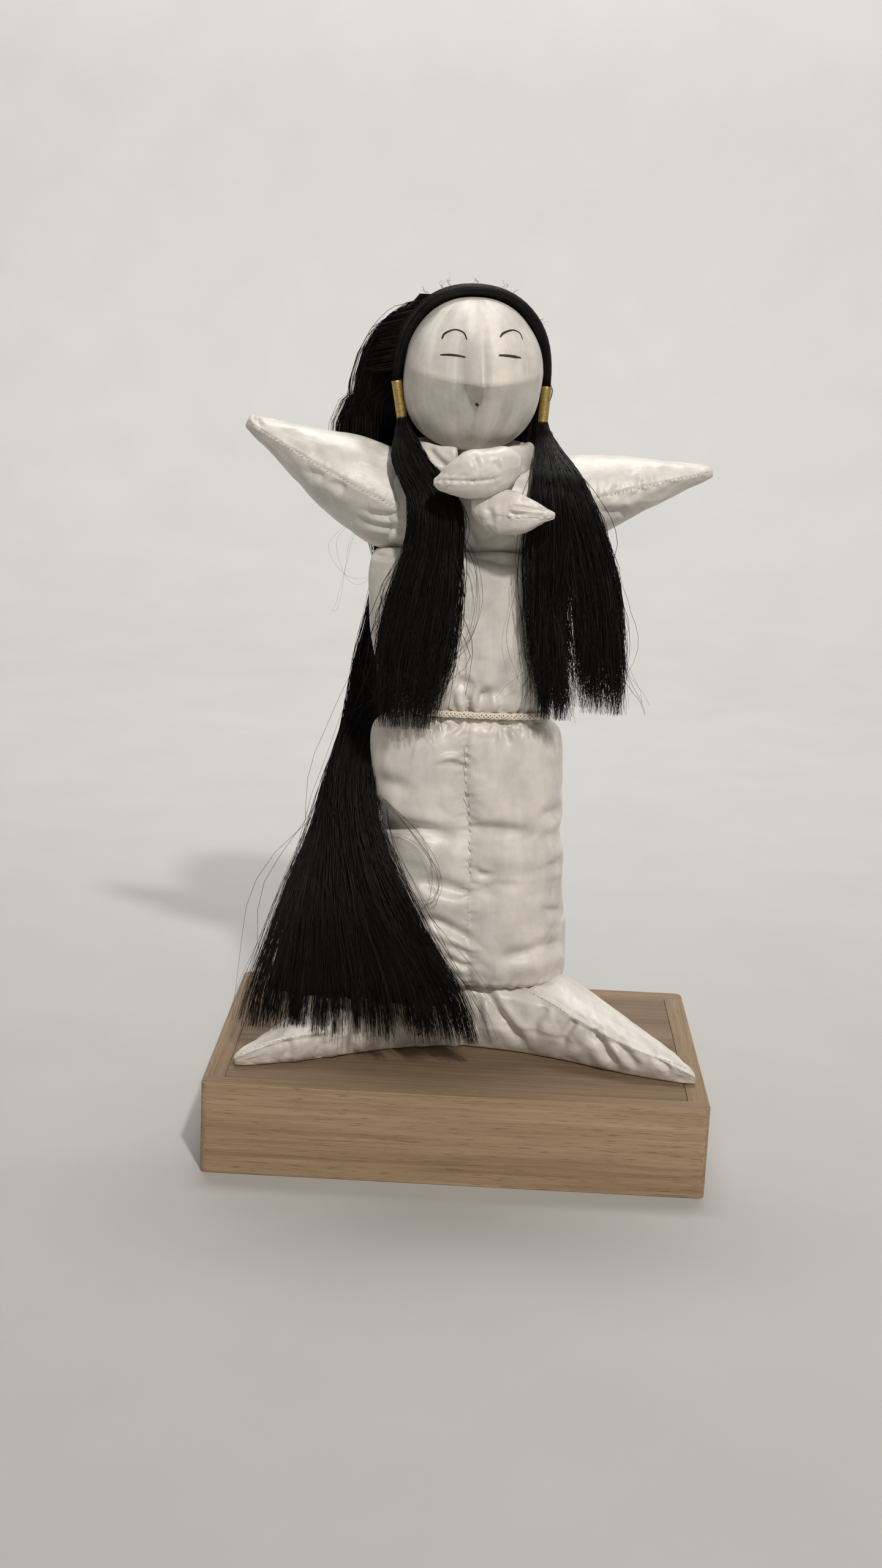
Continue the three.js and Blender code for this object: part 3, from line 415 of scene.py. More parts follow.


# Each silk mixes in pale streaks of painted sheen, more of it on the face.
body_silk = silk_material("body silk", (0.74, 0.69, 0.63, 1), (0.5, 0.47, 0.43, 1))
face_silk = silk_material("face silk", (0.72, 0.67, 0.61, 1), (0.42, 0.395, 0.36, 1), 0.05, 0.1, 0.5)

# %% [markdown]
# ## Hair, gilt and ink
#
# Hair is nearly black. What shows it as hair is a soft gloss along each strand and a small
# change of tone from strand to strand, which each strand carries as an attribute. The gold
# tubes are rubbed gilt, and the face is drawn with ink.

# %% Hair, gilt, cord and ink materials
def hair_material(name, dark, light, gloss):
    material, tree, place = new_material(name)
    shade = node(tree, "Attribute", attribute_name="shade").outputs["Fac"]
    patches = stretched_noise(tree, place["Object"], (160, 160, 30), 3)
    amount = maths(tree, "MULTIPLY", shade, remap(tree, patches, 0.3, 0.7, 0.4, 1.0))
    set_shader(tree, Base_Color=mix_colours(tree, amount, dark, light), Specular_IOR_Level=gloss,
               Roughness=remap(tree, patches, 0.3, 0.7, 0.34, 0.5))
    return material


def plain_material(name, dark, light, roughness, scale=700):
    material, tree, place = new_material(name)
    tone = remap(tree, stretched_noise(tree, place["Object"], (scale, scale, scale), 3), 0.3, 0.7)
    set_shader(tree, Base_Color=mix_colours(tree, tone, dark, light), Roughness=roughness)
    return material


strand_black = hair_material("hair strands", (0.002, 0.0016, 0.0018, 1), (0.036, 0.03, 0.028, 1), gloss=0.2)
mass_black = hair_material("hair mass", (0.002, 0.0018, 0.002, 1), (0.006, 0.005, 0.0045, 1), gloss=0.08)
band_black = hair_material("hair band", (0.003, 0.003, 0.0035, 1), (0.009, 0.009, 0.0105, 1), gloss=0.15)
ink = plain_material("ink", (0.006, 0.005, 0.006, 1), (0.022, 0.017, 0.018, 1), 0.7)
red_ink = plain_material("red ink", (0.03, 0.004, 0.004, 1), (0.06, 0.007, 0.006, 1), 0.6)
cord_silk = plain_material("braided silk cord", (0.7, 0.6, 0.5, 1), (0.88, 0.8, 0.71, 1), 0.5, 1100)
floor_paint = plain_material("floor", (0.43, 0.425, 0.41, 1), (0.45, 0.444, 0.428, 1), 0.85, 9)
thread_silk = plain_material("sewing thread", (0.619, 0.569, 0.506, 1), (0.711, 0.661, 0.594, 1), 0.5, 900)
floor.data.materials.append(floor_paint)

gilt, tree, place = new_material("rubbed gilt")
brushed = stretched_noise(tree, place["Object"], (260, 260, 1500), 4, 0.6)
worn = remap(tree, stretched_noise(tree, place["Object"], (420, 420, 260), 4, 0.7), 0.5, 0.72)
gold_tone = mix_colours(tree, remap(tree, brushed, 0.3, 0.7), (0.42, 0.29, 0.09, 1), (0.72, 0.54, 0.22, 1))
rubbed = mix_colours(tree, maths(tree, "MULTIPLY", worn, 0.5), gold_tone, (0.24, 0.15, 0.05, 1))
bump = node(tree, "Bump", Strength=0.4, Distance=0.0002, Height=brushed)
set_shader(tree, Metallic=1.0, Base_Color=rubbed, Roughness=remap(tree, brushed, 0.3, 0.7, 0.28, 0.5),
           Normal=bump.outputs["Normal"])
print(len(bpy.data.materials), "materials")

# %% [markdown]
# ## The stand
#
# The stand is an open box turned upside down. The front and back boards run its full width with
# rounded upright corners, the side boards fit between them, and a thin panel is let in flush.
# Each board starts as a cube at the size of its solid, its corners are rounded in edit mode,
# and a bevel takes the sharpness off every edge, as a plane and sandpaper do. The wooden parts
# inside keep their solids and get a paler wood.

# %% Plane the boards
def select_edges(piece, wanted):
    """In edit mode, selects the edges whose middle and direction pass the test."""
    mesh = bmesh.from_edit_mesh(piece.data)
    for item in (*mesh.verts, *mesh.edges, *mesh.faces):
        item.select = False
    for edge in mesh.edges:
        middle = (edge.verts[0].co + edge.verts[1].co) / 2
        line = (edge.verts[1].co - edge.verts[0].co).normalized()
        if wanted(middle, line):
            edge.select_set(True)
    bmesh.update_edit_mesh(piece.data)


def planed_board(solid, material, corner_side=0, edge=0.7 * MM):
    low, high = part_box(solid)
    deselect_all()
    bpy.ops.mesh.primitive_cube_add(size=1, location=(low + high) / 2, scale=high - low)
    board = put_down(bpy.context.object, solid + "_planed")
    if corner_side:
        bpy.ops.object.mode_set(mode="EDIT")
        bpy.ops.mesh.select_mode(type="EDGE")
        outer = high.y if corner_side > 0 else low.y
        select_edges(board, lambda middle, line: abs(line.z) > 0.9 and abs(middle.y - outer) < 1e-5)
        bpy.ops.mesh.bevel(offset=5 * MM, segments=8, affect="EDGES")
        close_mesh()
    if solid == "stand_top_panel":
        deselect_all()
        bpy.ops.mesh.primitive_cylinder_add(
            vertices=48, radius=5.8 * MM, depth=0.04, location=(-3 * MM, 3 * MM, 0.051))
        drill = bpy.context.object
        apply_modifier(board, "BOOLEAN", object=drill, operation="DIFFERENCE", solver="EXACT")
        bpy.data.objects.remove(drill)
    apply_modifier(board, "BEVEL", width=edge, segments=3, limit_method="ANGLE", angle_limit=math.radians(40))
    take_up(board)
    bpy.ops.object.shade_smooth_by_angle(angle=math.radians(35))
    clothe(board, material, "stand", [solid])


planed_board("stand_front_board", front_wood, -1)
planed_board("stand_back_board", back_wood, 1)
planed_board("stand_right_board", side_wood)
planed_board("stand_left_board", side_wood)
planed_board("stand_top_panel", shaded_panel_wood, edge=0.5 * MM)

for name in ("stand_socket_block", "stand_right_batten", "stand_left_batten",
             "spine_post", "shoulder_block", "neck_stick"):
    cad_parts[name].data.materials.clear()
    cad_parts[name].data.materials.append(inner_wood)

# %% [markdown]
# ## Sewn skins
#
# Every stuffed piece is a skin of silk. It begins as rings of points along the piece, spaced
# evenly, because cloth behaves well only when its mesh is even. The rings follow the same
# shapes as the solids. A UV map laid out in metres goes with them for the weave.

# %% Rings, ovals and skins
def curve_through(stations, steps):
    """A smooth curve through rows of numbers."""
    s = np.array(stations, float)
    rows = []
    for i in range(len(s) - 1):
        a, b, c, d = s[max(i - 1, 0)], s[i], s[i + 1], s[min(i + 2, len(s) - 1)]
        for t in np.arange(steps) / steps:
            rows.append(b + ((c - a) * t + (2 * a - 5 * b + 4 * c - d) * t**2
                             + (3 * b - 3 * c + d - a) * t**3) / 2)
    return np.array(rows + [s[-1]])


def even_rows(stations, spacing):
    """The same curve, cut into even steps."""
    fine = curve_through(stations, 16)
    walked = walked_along(fine)
    marks = np.linspace(0, walked[-1], max(int(walked[-1] / spacing), 3) + 1)
    return np.stack([np.interp(marks, walked, column) for column in fine.T], 1)


def oval(half_a, half_b, power, sides):
    """Points spaced evenly round an oval, starting at the front."""
    angle = np.linspace(-math.pi / 2, 1.5 * math.pi, 481)
    fine = np.stack([half_a * bent(np.cos(angle), power), half_b * bent(np.sin(angle), power)], 1)
    walked = walked_along(fine)
    marks = np.linspace(0, walked[-1], sides + 1)[:-1]
    return np.interp(marks, walked, fine[:, 0]), np.interp(marks, walked, fine[:, 1])


def level_rings(stations, spacing, sides, power):
    """Stations are z, x, y, half width and half depth, in mm above the stand."""
    rings = []
    for z, x, y, wide, deep in even_rows(stations, spacing):
        across, back = oval(wide, deep, power, sides)
        rings.append(np.stack([x + across, y + back, np.full(sides, z)], 1))
    return np.array(rings)


def upright_rings(stations, spacing, sides, power):
    """Stations are x, y, z, half depth and half height, in mm. The rings stand across X."""
    rings = []
    for x, y, z, deep, tall in even_rows(stations, spacing):
        up, back = oval(tall, deep, power, sides)
        rings.append(np.stack([np.full(sides, x), y + back, z + up], 1))
    return np.array(rings)


def sewn_skin(name, rings):
    """A closed skin over rings in mm above the stand, with a UV map in metres."""
    rows, sides, _ = rings.shape
    points = above_stand(rings.reshape(-1, 3))
    start, end = len(points), len(points) + 1
    girth = np.linalg.norm(np.diff(rings[:, list(range(sides)) + [0]], axis=1), axis=2).sum(1).max() * MM
    length = walked_along(rings.mean(1))[-1] * MM
    faces, uvs = [], []
    for row in range(rows - 1):
        low, high = length * row / (rows - 1), length * (row + 1) / (rows - 1)
        for side in range(sides):
            a, b = row * sides + side, row * sides + (side + 1) % sides
            left, right = girth * side / sides, girth * (side + 1) / sides
            faces.append((a, b, b + sides, a + sides))
            uvs += [left, low, right, low, right, high, left, high]
    last_row = (rows - 1) * sides
    for side in range(sides):
        a, b = side, (side + 1) % sides
        left, right = girth * side / sides, girth * (side + 1) / sides
        faces += [(start, b, a), (end, a + last_row, b + last_row)]
        uvs += [girth / 2, -0.01, right, 0, left, 0, girth / 2, length + 0.01, left, length, right, length]
    piece = new_piece(name, [*points, points[:sides].mean(0), points[-sides:].mean(0)], faces)
    piece.data.uv_layers.new(name="cloth").data.foreach_set("uv", uvs)
    take_up(piece)
    open_mesh()
    bpy.ops.mesh.normals_make_consistent(inside=False)
    close_mesh()
    bpy.ops.object.shade_smooth()
    piece["rows"], piece["sides"] = rows, sides
    return piece


def grid_of(piece):
    """The points of a skin that isn't refined yet, by ring and side."""
    rows, sides = piece["rows"], piece["sides"]
    return points_of(piece)[:rows * sides].reshape(rows, sides, 3)


# %% [markdown]
# ## Stuffing by simulation
#
# A sewn skin that is stuffed swells between its seams and puckers beside them, because the
# thread draws the seam shorter than the cloth. Cloth simulation does the same: the seam and the
# tied ends are held, the cloth is given a little too much length, more beside the seams, and
# pressure from inside fills it. No point may move further than a cap.

# %% Stuff a skin
STUFFING_FRAMES = 16


def weigh(piece, name, grid):
    """Keeps a number from 0 to 1 for each ring and side of the skin, and 1 for its two end points."""
    group = piece.vertex_groups.new(name=name)
    grid = np.broadcast_to(np.clip(grid, 0, 1), (piece["rows"], piece["sides"]))
    for index, weight in enumerate([*grid.ravel(), 1, 1]):
        if weight > 0.001:
            group.add([index], float(weight), "REPLACE")


def stuff(piece, held, gathered, slack, gather, pressure, cap):
    """Fills a skin. slack and gather are the cloth's extra length, away from its seams and beside them."""
    start = points_of(piece)
    weigh(piece, "held", held)
    weigh(piece, "gathered", gathered)
    filling = piece.modifiers.new("cloth", "CLOTH")
    silk = filling.settings
    silk.quality = 5
    silk.mass = 0.2
    silk.tension_stiffness = silk.compression_stiffness = 15
    silk.shear_stiffness = 6
    silk.bending_stiffness = 0.05
    silk.vertex_group_mass = "held"
    silk.vertex_group_shrink = "gathered"
    silk.shrink_min = -slack
    silk.shrink_max = -gather
    silk.use_pressure = True
    silk.uniform_pressure_force = pressure
    silk.effector_weights.gravity = 0
    filling.collision_settings.use_collision = False
    filling.point_cache.frame_start = 1
    filling.point_cache.frame_end = STUFFING_FRAMES
    for number in range(1, STUFFING_FRAMES + 1):
        scene.frame_set(number)
    moved = points_of(piece.evaluated_get(bpy.context.evaluated_depsgraph_get())) - start
    far = np.linalg.norm(moved, axis=1, keepdims=True)
    moved *= cap * np.tanh(far / cap) / np.maximum(far, 1e-9)
    piece.modifiers.remove(filling)
    piece.vertex_groups.clear()
    set_points(piece, start + moved)
    scene.frame_set(1)
    print(f"{piece.name}: swelled by {far.mean() / MM:.2f} mm on average and {far.max() / MM:.2f} mm at most")


def finish_silk(piece, solid, body="doll"):
    clothe(piece, body_silk, body, [solid])


# %% [markdown]
# ## Folds drawn one by one
#
# Pressure makes the broad swelling. The folds that give a hand-sewn doll its character are drawn
# afterwards: creases lie where they are seen from the front, pleats run out from a seam, and
# soft lumps of filling show everywhere. Each is a small move of the points along the surface's
# own outward direction.

# %% Creases, pleats and lumps
FRONT_PLANE = -35 * MM
CREASE_SPREAD = 1.18


def seen_from_front(points):
    """Where points are seen, as x and z in mm on an upright plane at the doll's front."""
    eye = np.array(CAMERA_PLACE)
    away = points - eye
    return (eye + away * ((FRONT_PLANE - eye[1]) / away[:, 1:2]))[:, [0, 2]] / MM


def along_line(points, line):
    """For each point: how far it is from a line, how far along the line that is, and the way to it."""
    best = np.full(len(points), 1e9)
    at = np.zeros(len(points))
    away = np.zeros_like(points)
    step_there = np.zeros_like(points)
    walked = 0
    for first, last in zip(line[:-1], line[1:]):
        step = last - first
        length = np.linalg.norm(step)
        if length < 1e-9:
            continue
        part = np.clip((points - first) @ step / length**2, 0, 1)
        gap = points - first - part[:, None] * step
        far = np.linalg.norm(gap, axis=1)
        closer = far < best
        best[closer] = far[closer]
        at[closer] = walked + part[closer] * length
        away[closer] = gap[closer]
        step_there[closer] = step / length
        walked += length
    return best, at, away, step_there, walked


def crease(piece, folds):
    """A fold is its depth and half width in mm, and the marks, x and z in mm, where it is seen."""
    points = points_of(piece)
    facing = smooth((points_of(piece, "normal") * unit(np.array(CAMERA_PLACE) - points)).sum(1) * 2.5)
    marks = seen_from_front(points)
    push = np.zeros(len(points))
    for depth, width, *line in folds:
        width *= CREASE_SPREAD
        far, at, away, step, total = along_line(marks, curve_through(line, 8))
        above = step[:, 0] * away[:, 1] - step[:, 1] * away[:, 0] > 0
        fade = smooth(at / total * 5 + 0.3) * smooth((1 - at / total) * 2.2)
        lips = np.exp(-(((far - 2.1 * width) / (1.2 * width)) ** 2)) * np.where(above, 0.55, 0.25)
        push += depth * fade * (lips - np.exp(-((far / width) ** 2)))
    push_out(piece, push * facing)


def pleat(piece, line, random, pitch, reach, depth, width=1.3, ways=(-1, 1)):
    """Small pleats in mm that run out from a seam. line holds the seam's points in metres."""
    far, at, away, step, total = along_line(points_of(piece) / MM, np.asarray(line) / MM)
    side = (away * np.cross(points_of(piece, "normal"), step)).sum(1)
    push = np.zeros(len(far))
    for place in np.arange(pitch / 2, total, pitch):
        for way in (-1, 1):
            middle = place + random.normal(0, pitch * 0.25)
            length = reach * random.uniform(0.35, 1.4)
            lean = random.normal(0, 0.22)
            strength = depth * random.uniform(0.3, 1.0) ** 1.5
            if way not in ways:
                continue
            off = np.abs(at - middle - lean * far)
            across = np.exp(-((off / width) ** 2)) - 0.5 * np.exp(-(((off - 2.1 * width) / width) ** 2))
            push -= strength * across * smooth(1 - far / length) * (side * way > 0) * smooth(far / 1.2 + 0.4)
    push_out(piece, push)


def groove(piece, line, depth, width):
    """A narrow sunken line in mm. line holds its points in metres."""
    far = along_line(points_of(piece) / MM, np.asarray(line) / MM)[0]
    push_out(piece, -depth * np.exp(-((far / width) ** 2)))


def lumps(piece, random, size, amount):
    """Soft lumps of filling, about size mm apart and amount mm high. They fade out near the stand."""
    points = points_of(piece)
    push = np.zeros(len(points))
    for _ in range(14):
        way = random.normal(size=3)
        way /= np.linalg.norm(way)
        wave = 2 * math.pi / (size * random.uniform(0.7, 1.5) * MM)
        push += np.cos(points @ way * wave + random.uniform(0, 6.28))
    push_out(piece, push * amount / 2.6 * smooth((points[:, 2] - STAND_TOP) / (4 * MM)))


def tree_of(piece):
    mesh = piece.data
    return BVHTree.FromPolygons([v.co for v in mesh.vertices], [p.vertices for p in mesh.polygons])


def as_line(found):
    """Places and outward directions, as two arrays."""
    return np.array([hit[0] for hit in found]), np.array([hit[1] for hit in found])


def lay_on(piece, places):
    """Drops points onto the nearest place of a finished piece."""
    tree = tree_of(piece)
    return as_line([tree.find_nearest(Vector(place)) for place in places])


def drop_from_camera(tree, x, z, y=FRONT_PLANE):
    """The place and outward direction that the camera sees behind a mark, x and z in mm."""
    aim = Vector((x * MM, y, z * MM)) - CAMERA_PLACE
    return tree.ray_cast(CAMERA_PLACE, aim.normalized())[:2]


def seen_line(piece, marks):
    """Drops a line seen from the front onto a piece."""
    tree = tree_of(piece)
    found = [drop_from_camera(tree, x, z) for x, z in curve_through(marks, 8)]
    return as_line([hit for hit in found if hit[0]])


def refine(piece):
    apply_modifier(piece, "SUBSURF", levels=1, render_levels=1)


# %% [markdown]
# ## Stitches
#
# The seams are sewn by hand with silk thread. One stitch is modelled, a short rounded grain,
# and its copies are laid along the seam in one piece.

# %% Lay stitches along a line
deselect_all()
bpy.ops.mesh.primitive_cylinder_add(
    vertices=6, radius=1, depth=2, end_fill_type="NOTHING", rotation=(0, math.pi / 2, 0))
stitch = put_down(bpy.context.object, "stitch_pattern")
open_mesh()
bpy.ops.mesh.subdivide(number_cuts=1)
close_mesh()
stitch_points = points_of(stitch)
stitch_points[:, 1:] *= np.where(np.abs(stitch_points[:, :1]) > 0.9, 0.45, 1)
set_points(stitch, stitch_points)
open_mesh()
bpy.ops.mesh.region_to_loop()
bpy.ops.mesh.fill()
bpy.ops.mesh.select_all(action="SELECT")
bpy.ops.mesh.normals_make_consistent(inside=False)
close_mesh()
stitch_faces = [tuple(p.vertices) for p in stitch.data.polygons]
bpy.data.objects.remove(stitch)


def lay_stitches(name, line, pitch, body, length=1.7 * MM, thick=0.22 * MM, slant=0.0, lift=0.1 * MM):
    """line holds the places and outward directions of a seam, as two arrays."""
    walked = walked_along(line[0])
    marks = np.arange(pitch, walked[-1] - pitch / 2, pitch)

    def at(values, shift=0.0):
        return np.stack([np.interp(marks + shift, walked, column) for column in values.T], 1)

    middle, out = at(line[0]), at(line[1])
    ahead = unit(at(line[0], pitch / 2) - middle)
    out = unit(out - ahead * (out * ahead).sum(1, keepdims=True))
    run = ahead * math.cos(slant) + np.cross(out, ahead) * math.sin(slant)
    across = np.cross(out, run)
    points = (middle + out * lift)[:, None] + run[:, None] * stitch_points[:, :1] * length / 2
    points = points + (across[:, None] * stitch_points[:, 1:2] + out[:, None] * stitch_points[:, 2:]) * thick
    starts = range(0, points.size // 3, len(stitch_points))
    faces = [tuple(i + start for i in face) for start in starts for face in stitch_faces]
    piece = new_piece(name, points.reshape(-1, 3), faces)
    take_up(piece)
    bpy.ops.object.shade_smooth()
    return clothe(piece, thread_silk, body)


# %% [markdown]
# ## The lower body
#
# One stuffed piece, drawn in at the waist by the cord and closed in front by a seam. The upper
# three fifths of the seam have a few long slack stitches, the rest small tight ones. The body
# folds in a little on both sides, and broad dents run from these folds and from the seam.

# %% Sew and stuff the lower body
BODY_X = -3.4
BODY_Y = 2
LOWER = (46, 167, 60, 37)
TORSO = (213.4, 94.6, 59.5, 34.5)
WAIST = (BODY_X, BODY_Y, 45.6, 30)
SIDES = 136


def body_station(size, share, x, wide, deep):
    bottom, height, half_width, half_depth = size
    return (bottom + height * share, x, BODY_Y, half_width * wide, half_depth * deep)


def closed(ring):
    return np.concatenate([ring, ring[:1]])


lower_stations = [body_station(LOWER, *row) for row in (
    (-0.02, 5.2, 0.9, 0.86), (0.004, 4.8, 0.975, 0.95), (0.1, 3.5, 1.0, 0.99), (0.22, 2.5, 0.985, 0.97),
    (0.31, 2, 0.985, 1.0), (0.42, 1.5, 0.975, 0.98), (0.49, 1.2, 0.975, 1.0), (0.56, 0.6, 0.935, 0.95),
    (0.62, 0, 0.965, 0.98), (0.72, -3, 0.99, 1.0), (0.86, -4, 0.99, 0.97), (0.94, -4, 0.94, 0.9))]
lower_stations += [(209.8, *WAIST), (213, *WAIST)]
lower_rings = level_rings(lower_stations, 2.3, SIDES, 2.5)
height = (lower_rings[:, :1, 2] - LOWER[0]) / LOWER[1]
turn = np.arange(SIDES) / SIDES * 2 * math.pi
from_front = ((turn + math.pi) % (2 * math.pi) - math.pi)[None, :]
slack_seam = smooth((height - 0.36) / 0.05) * smooth((0.88 - height) / 0.05)
lower_rings[:, :, 1] += near(from_front, 0.14) ** 2 * (2.2 + 1.8 * slack_seam)
lower_skin = sewn_skin("lower_body_silk", lower_rings)

held = np.zeros(lower_rings.shape[:2])
held[:, 0] = 1
slack_part = (height[:, 0] > 0.4) & (height[:, 0] < 0.86)
held[slack_part, 0] = (np.arange(len(held))[slack_part] % 6 == 0) * 1.0
held[:3] = held[-3:] = 1
notch_height = height - 0.56
notch = near(notch_height, 0.018) * (near(turn - math.pi / 2, 0.4) + near(turn - 1.5 * math.pi, 0.4))
gathered = smooth((height - 0.84) / 0.12) + 0.5 * near(from_front, 0.5)
gathered = gathered + 0.5 * near(notch_height, 0.1) + 0.5 * near(height - 0.02, 0.07)
stuff(lower_skin, held + (notch > 0.4) * 0.8, gathered, slack=0.015, gather=0.17, pressure=3.5, cap=3.4 * MM)
grid = grid_of(lower_skin)
lower_seam, waist_below, hem = grid[2:-3, 0], closed(grid[-3]), closed(grid[2])
refine(lower_skin)
random = np.random.default_rng(3)
lumps(lower_skin, random, 42, 0.4)
pleat(lower_skin, waist_below, random, 7, 17, 1.7, width=1.8)
pleat(lower_skin, hem, random, 9, 13, 1.0, width=1.9)
pleat(lower_skin, lower_seam, random, 4.2, 8, 0.8, width=1.2)
groove(lower_skin, lower_seam[len(lower_seam) * 2 // 5:-6], 1.4, 0.9)
crease(lower_skin, [
    (3.4, 3.4, (-56, 213), (-48, 205), (-41, 202), (-24, 200), (-3, 197)),
    (3.0, 3.2, (58, 219), (48, 214), (41, 211)),
    (2.2, 3.2, (2, 203), (19, 203), (43, 202)),
    (2.4, 4.4, (-58, 230), (-44, 227), (-32, 227)),
    (-1.6, 1.6, (-2, 244), (-13, 247), (-27, 242)),
    (3.0, 3.8, (4, 162), (-9, 164), (-25, 167), (-39, 169)),
    (2.8, 2.6, (5, 131), (-5, 137), (-20, 143), (-32, 141)),
    (1.8, 1.8, (5, 120), (-3, 126), (-12, 129)),
    (1.8, 1.6, (4, 115), (-4, 117), (-14, 122)),
    (3.2, 3.6, (62, 134), (49, 129), (35, 124), (16, 121)),
    (2.0, 2.4, (59, 187), (53, 182), (46, 183)),
    (2.0, 2.4, (62, 155), (54, 153), (45, 155)),
    (1.4, 1.6, (6, 176), (11, 174), (18, 175)),
    (2.4, 1.5, (16, 272), (19, 264), (23, 255)),
    (2.2, 1.5, (17, 272), (25, 266), (31, 261)),
    (2.0, 1.5, (-9, 270), (-11, 265), (-18, 260)),
])
finish_silk(lower_skin, "lower_body")
places, outward = lay_on(lower_skin, lower_seam)
tight = places[:, 2] < STAND_TOP + (LOWER[0] + LOWER[1] * 0.4) * MM
lay_stitches("lower_body_stitches", (places[tight], outward[tight]), 2.8 * MM, "doll")
lay_stitches("lower_body_slack_stitches", (places[~tight][:-7], outward[~tight][:-7]), 6.5 * MM, "doll",
             length=6.6 * MM, thick=0.3 * MM, slant=0.42, lift=1.3 * MM)

# %% [markdown]
# ## The torso
#
# The torso is gathered by the same cord at its lower end, so pleats rise from the cord. Its
# front has a fine closed seam, and its top is folded over under the shoulders.

# %% Sew and stuff the torso
torso_stations = [(213.4, *WAIST), (216.6, *WAIST)]
torso_stations += [body_station(TORSO, *row) for row in (
    (0.1, -4.5, 0.87, 0.95), (0.25, -6.5, 0.94, 0.99), (0.5, -8, 0.96, 0.99), (0.8, -9, 0.99, 0.97),
    (0.93, -9, 0.985, 0.94), (1.0, -9, 0.95, 0.9), (1.05, -9, 0.84, 0.78))]
torso_rings = level_rings(torso_stations, 2.1, SIDES, 2.5)
height = (torso_rings[:, :1, 2] - TORSO[0]) / TORSO[1]
torso_rings[:, :, 1] += near(from_front, 0.07) ** 2 * 0.9
torso_skin = sewn_skin("torso_silk", torso_rings)
held = np.zeros(torso_rings.shape[:2])
held[:, 0] = 0.6
held[:2] = held[-3:] = 1
gathered = near(height - 0.02, 0.3) + 0.3 * near(height - 0.97, 0.1)
stuff(torso_skin, held, gathered, slack=0.01, gather=0.2, pressure=3, cap=2.6 * MM)
grid = grid_of(torso_skin)
torso_seam, waist_above = grid[3:-5, 0], closed(grid[2])
refine(torso_skin)
random = np.random.default_rng(4)
lumps(torso_skin, random, 40, 0.3)
pleat(torso_skin, waist_above, random, 7, 20, 1.9, width=1.9)
pleat(torso_skin, torso_seam, random, 5, 5, 0.4, width=1.1)
crease(torso_skin, [
    (2.6, 2.0, (-4, 370), (4, 368), (15, 366), (32, 368)),
    (1.8, 1.8, (-5, 372), (-10, 374), (-16, 377)),
    (2.4, 4.0, (-12, 293), (-6, 293), (-3, 297)),
    (2.6, 3.4, (0, 287), (10, 286), (20, 293)),
    (2.4, 1.7, (-3, 274), (-4, 281), (-8, 287)),
    (2.2, 1.7, (1, 275), (4, 284), (8, 293)),
    (2.2, 1.7, (15, 275), (16, 282), (13, 290)),
    (1.8, 3.6, (24, 282), (19, 295), (21, 313)),
    (2.2, 1.8, (-68, 369), (-58, 367), (-46, 369)),
    (1.4, 5.0, (-30, 282), (-32, 300), (-28, 322)),
])
finish_silk(torso_skin, "torso")
lay_stitches("torso_stitches", lay_on(torso_skin, torso_seam), 2.4 * MM, "doll",
             length=1.3 * MM, thick=0.15 * MM, lift=0)

# %% [markdown]
# ## Legs
#
# Each leg is a cone of silk that lies out to the side, flat underneath where it rests on the
# stand. A seam runs along its upper front from the body to the pinched tip, with puckers beside
# it, and slack cloth folds across the leg below the crotch.

# %% Sew and stuff the legs
LEG_HEIGHT = 46
LEG_PARTING_X = 5.2
LEG_SIDES = 92
LEG_SEAM = 7
LEG_REACH = 141
LEG_DEPTH = 33
SOLE = 0.4
LEG_STATIONS = (
    (-0.03, 5, 0.96, 1.1), (0, 4, 0.98, 1.16), (0.19, 0, 1.0, 1.13), (0.37, -9, 0.98, 1.04),
    (0.53, -22, 0.86, 0.84), (0.7, -38, 0.67, 0.6), (0.86, -52, 0.42, 0.38), (0.96, -60, 0.24, 0.21),
    (0.995, -62.6, 0.13, 0.12))


def sew_leg(name, side, forward, seam_marks, folds):
    stations = []
    for share, y, deep, height in LEG_STATIONS:
        tall = LEG_HEIGHT * height / 1.65
        x = LEG_PARTING_X + side * (0.15 + LEG_REACH * share)
        stations.append((x, y * forward, SOLE + tall * 0.65, LEG_DEPTH * deep, tall))
    rings = upright_rings(stations, 2.0, LEG_SIDES, 2.1)
    from_seam = np.arange(LEG_SIDES)[None, :] - LEG_SEAM
    outward = unit(rings - rings.mean(1, keepdims=True))
    rings = rings + outward * 2.6 * np.exp(-np.abs(from_seam) / 3.6)[..., None]
    rings[:, :, 2] = np.maximum(rings[:, :, 2], SOLE)
    skin = sewn_skin(name + "_silk", rings)
    share = np.linspace(0, 1, len(rings))[:, None]
    lying = rings[:, :, 2] < SOLE + 0.5
    stuff(skin, lying * 1.0 + (from_seam == 0) + (share < 0.02) + (share > 0.97),
          near(from_seam, 8) * smooth(share * 4) + 0.6 * near(share - 0.1, 0.2),
          slack=0.008, gather=0.03, pressure=3.5, cap=2.2 * MM)
    seam = grid_of(skin)[int(len(rings) * 0.06):-1, LEG_SEAM]
    refine(skin)
    random = np.random.default_rng(6 + side)
    lumps(skin, random, 34, 0.3)
    pleat(skin, seam[int(len(rings) * 0.2):], random, 6.5, 15, 0.6, width=1.8, ways=(-side,))
    crease(skin, folds)
    crease(skin, [(-1.1, 1.0, *seam_marks)])
    set_points(skin, np.maximum(points_of(skin), (-9, -9, STAND_TOP + 0.3 * MM)))
    finish_silk(skin, name)
    lay_stitches(name + "_stitches", seen_line(skin, seam_marks), 2.9 * MM, "doll",
                 length=1.9 * MM, thick=0.26 * MM, lift=0.12 * MM)


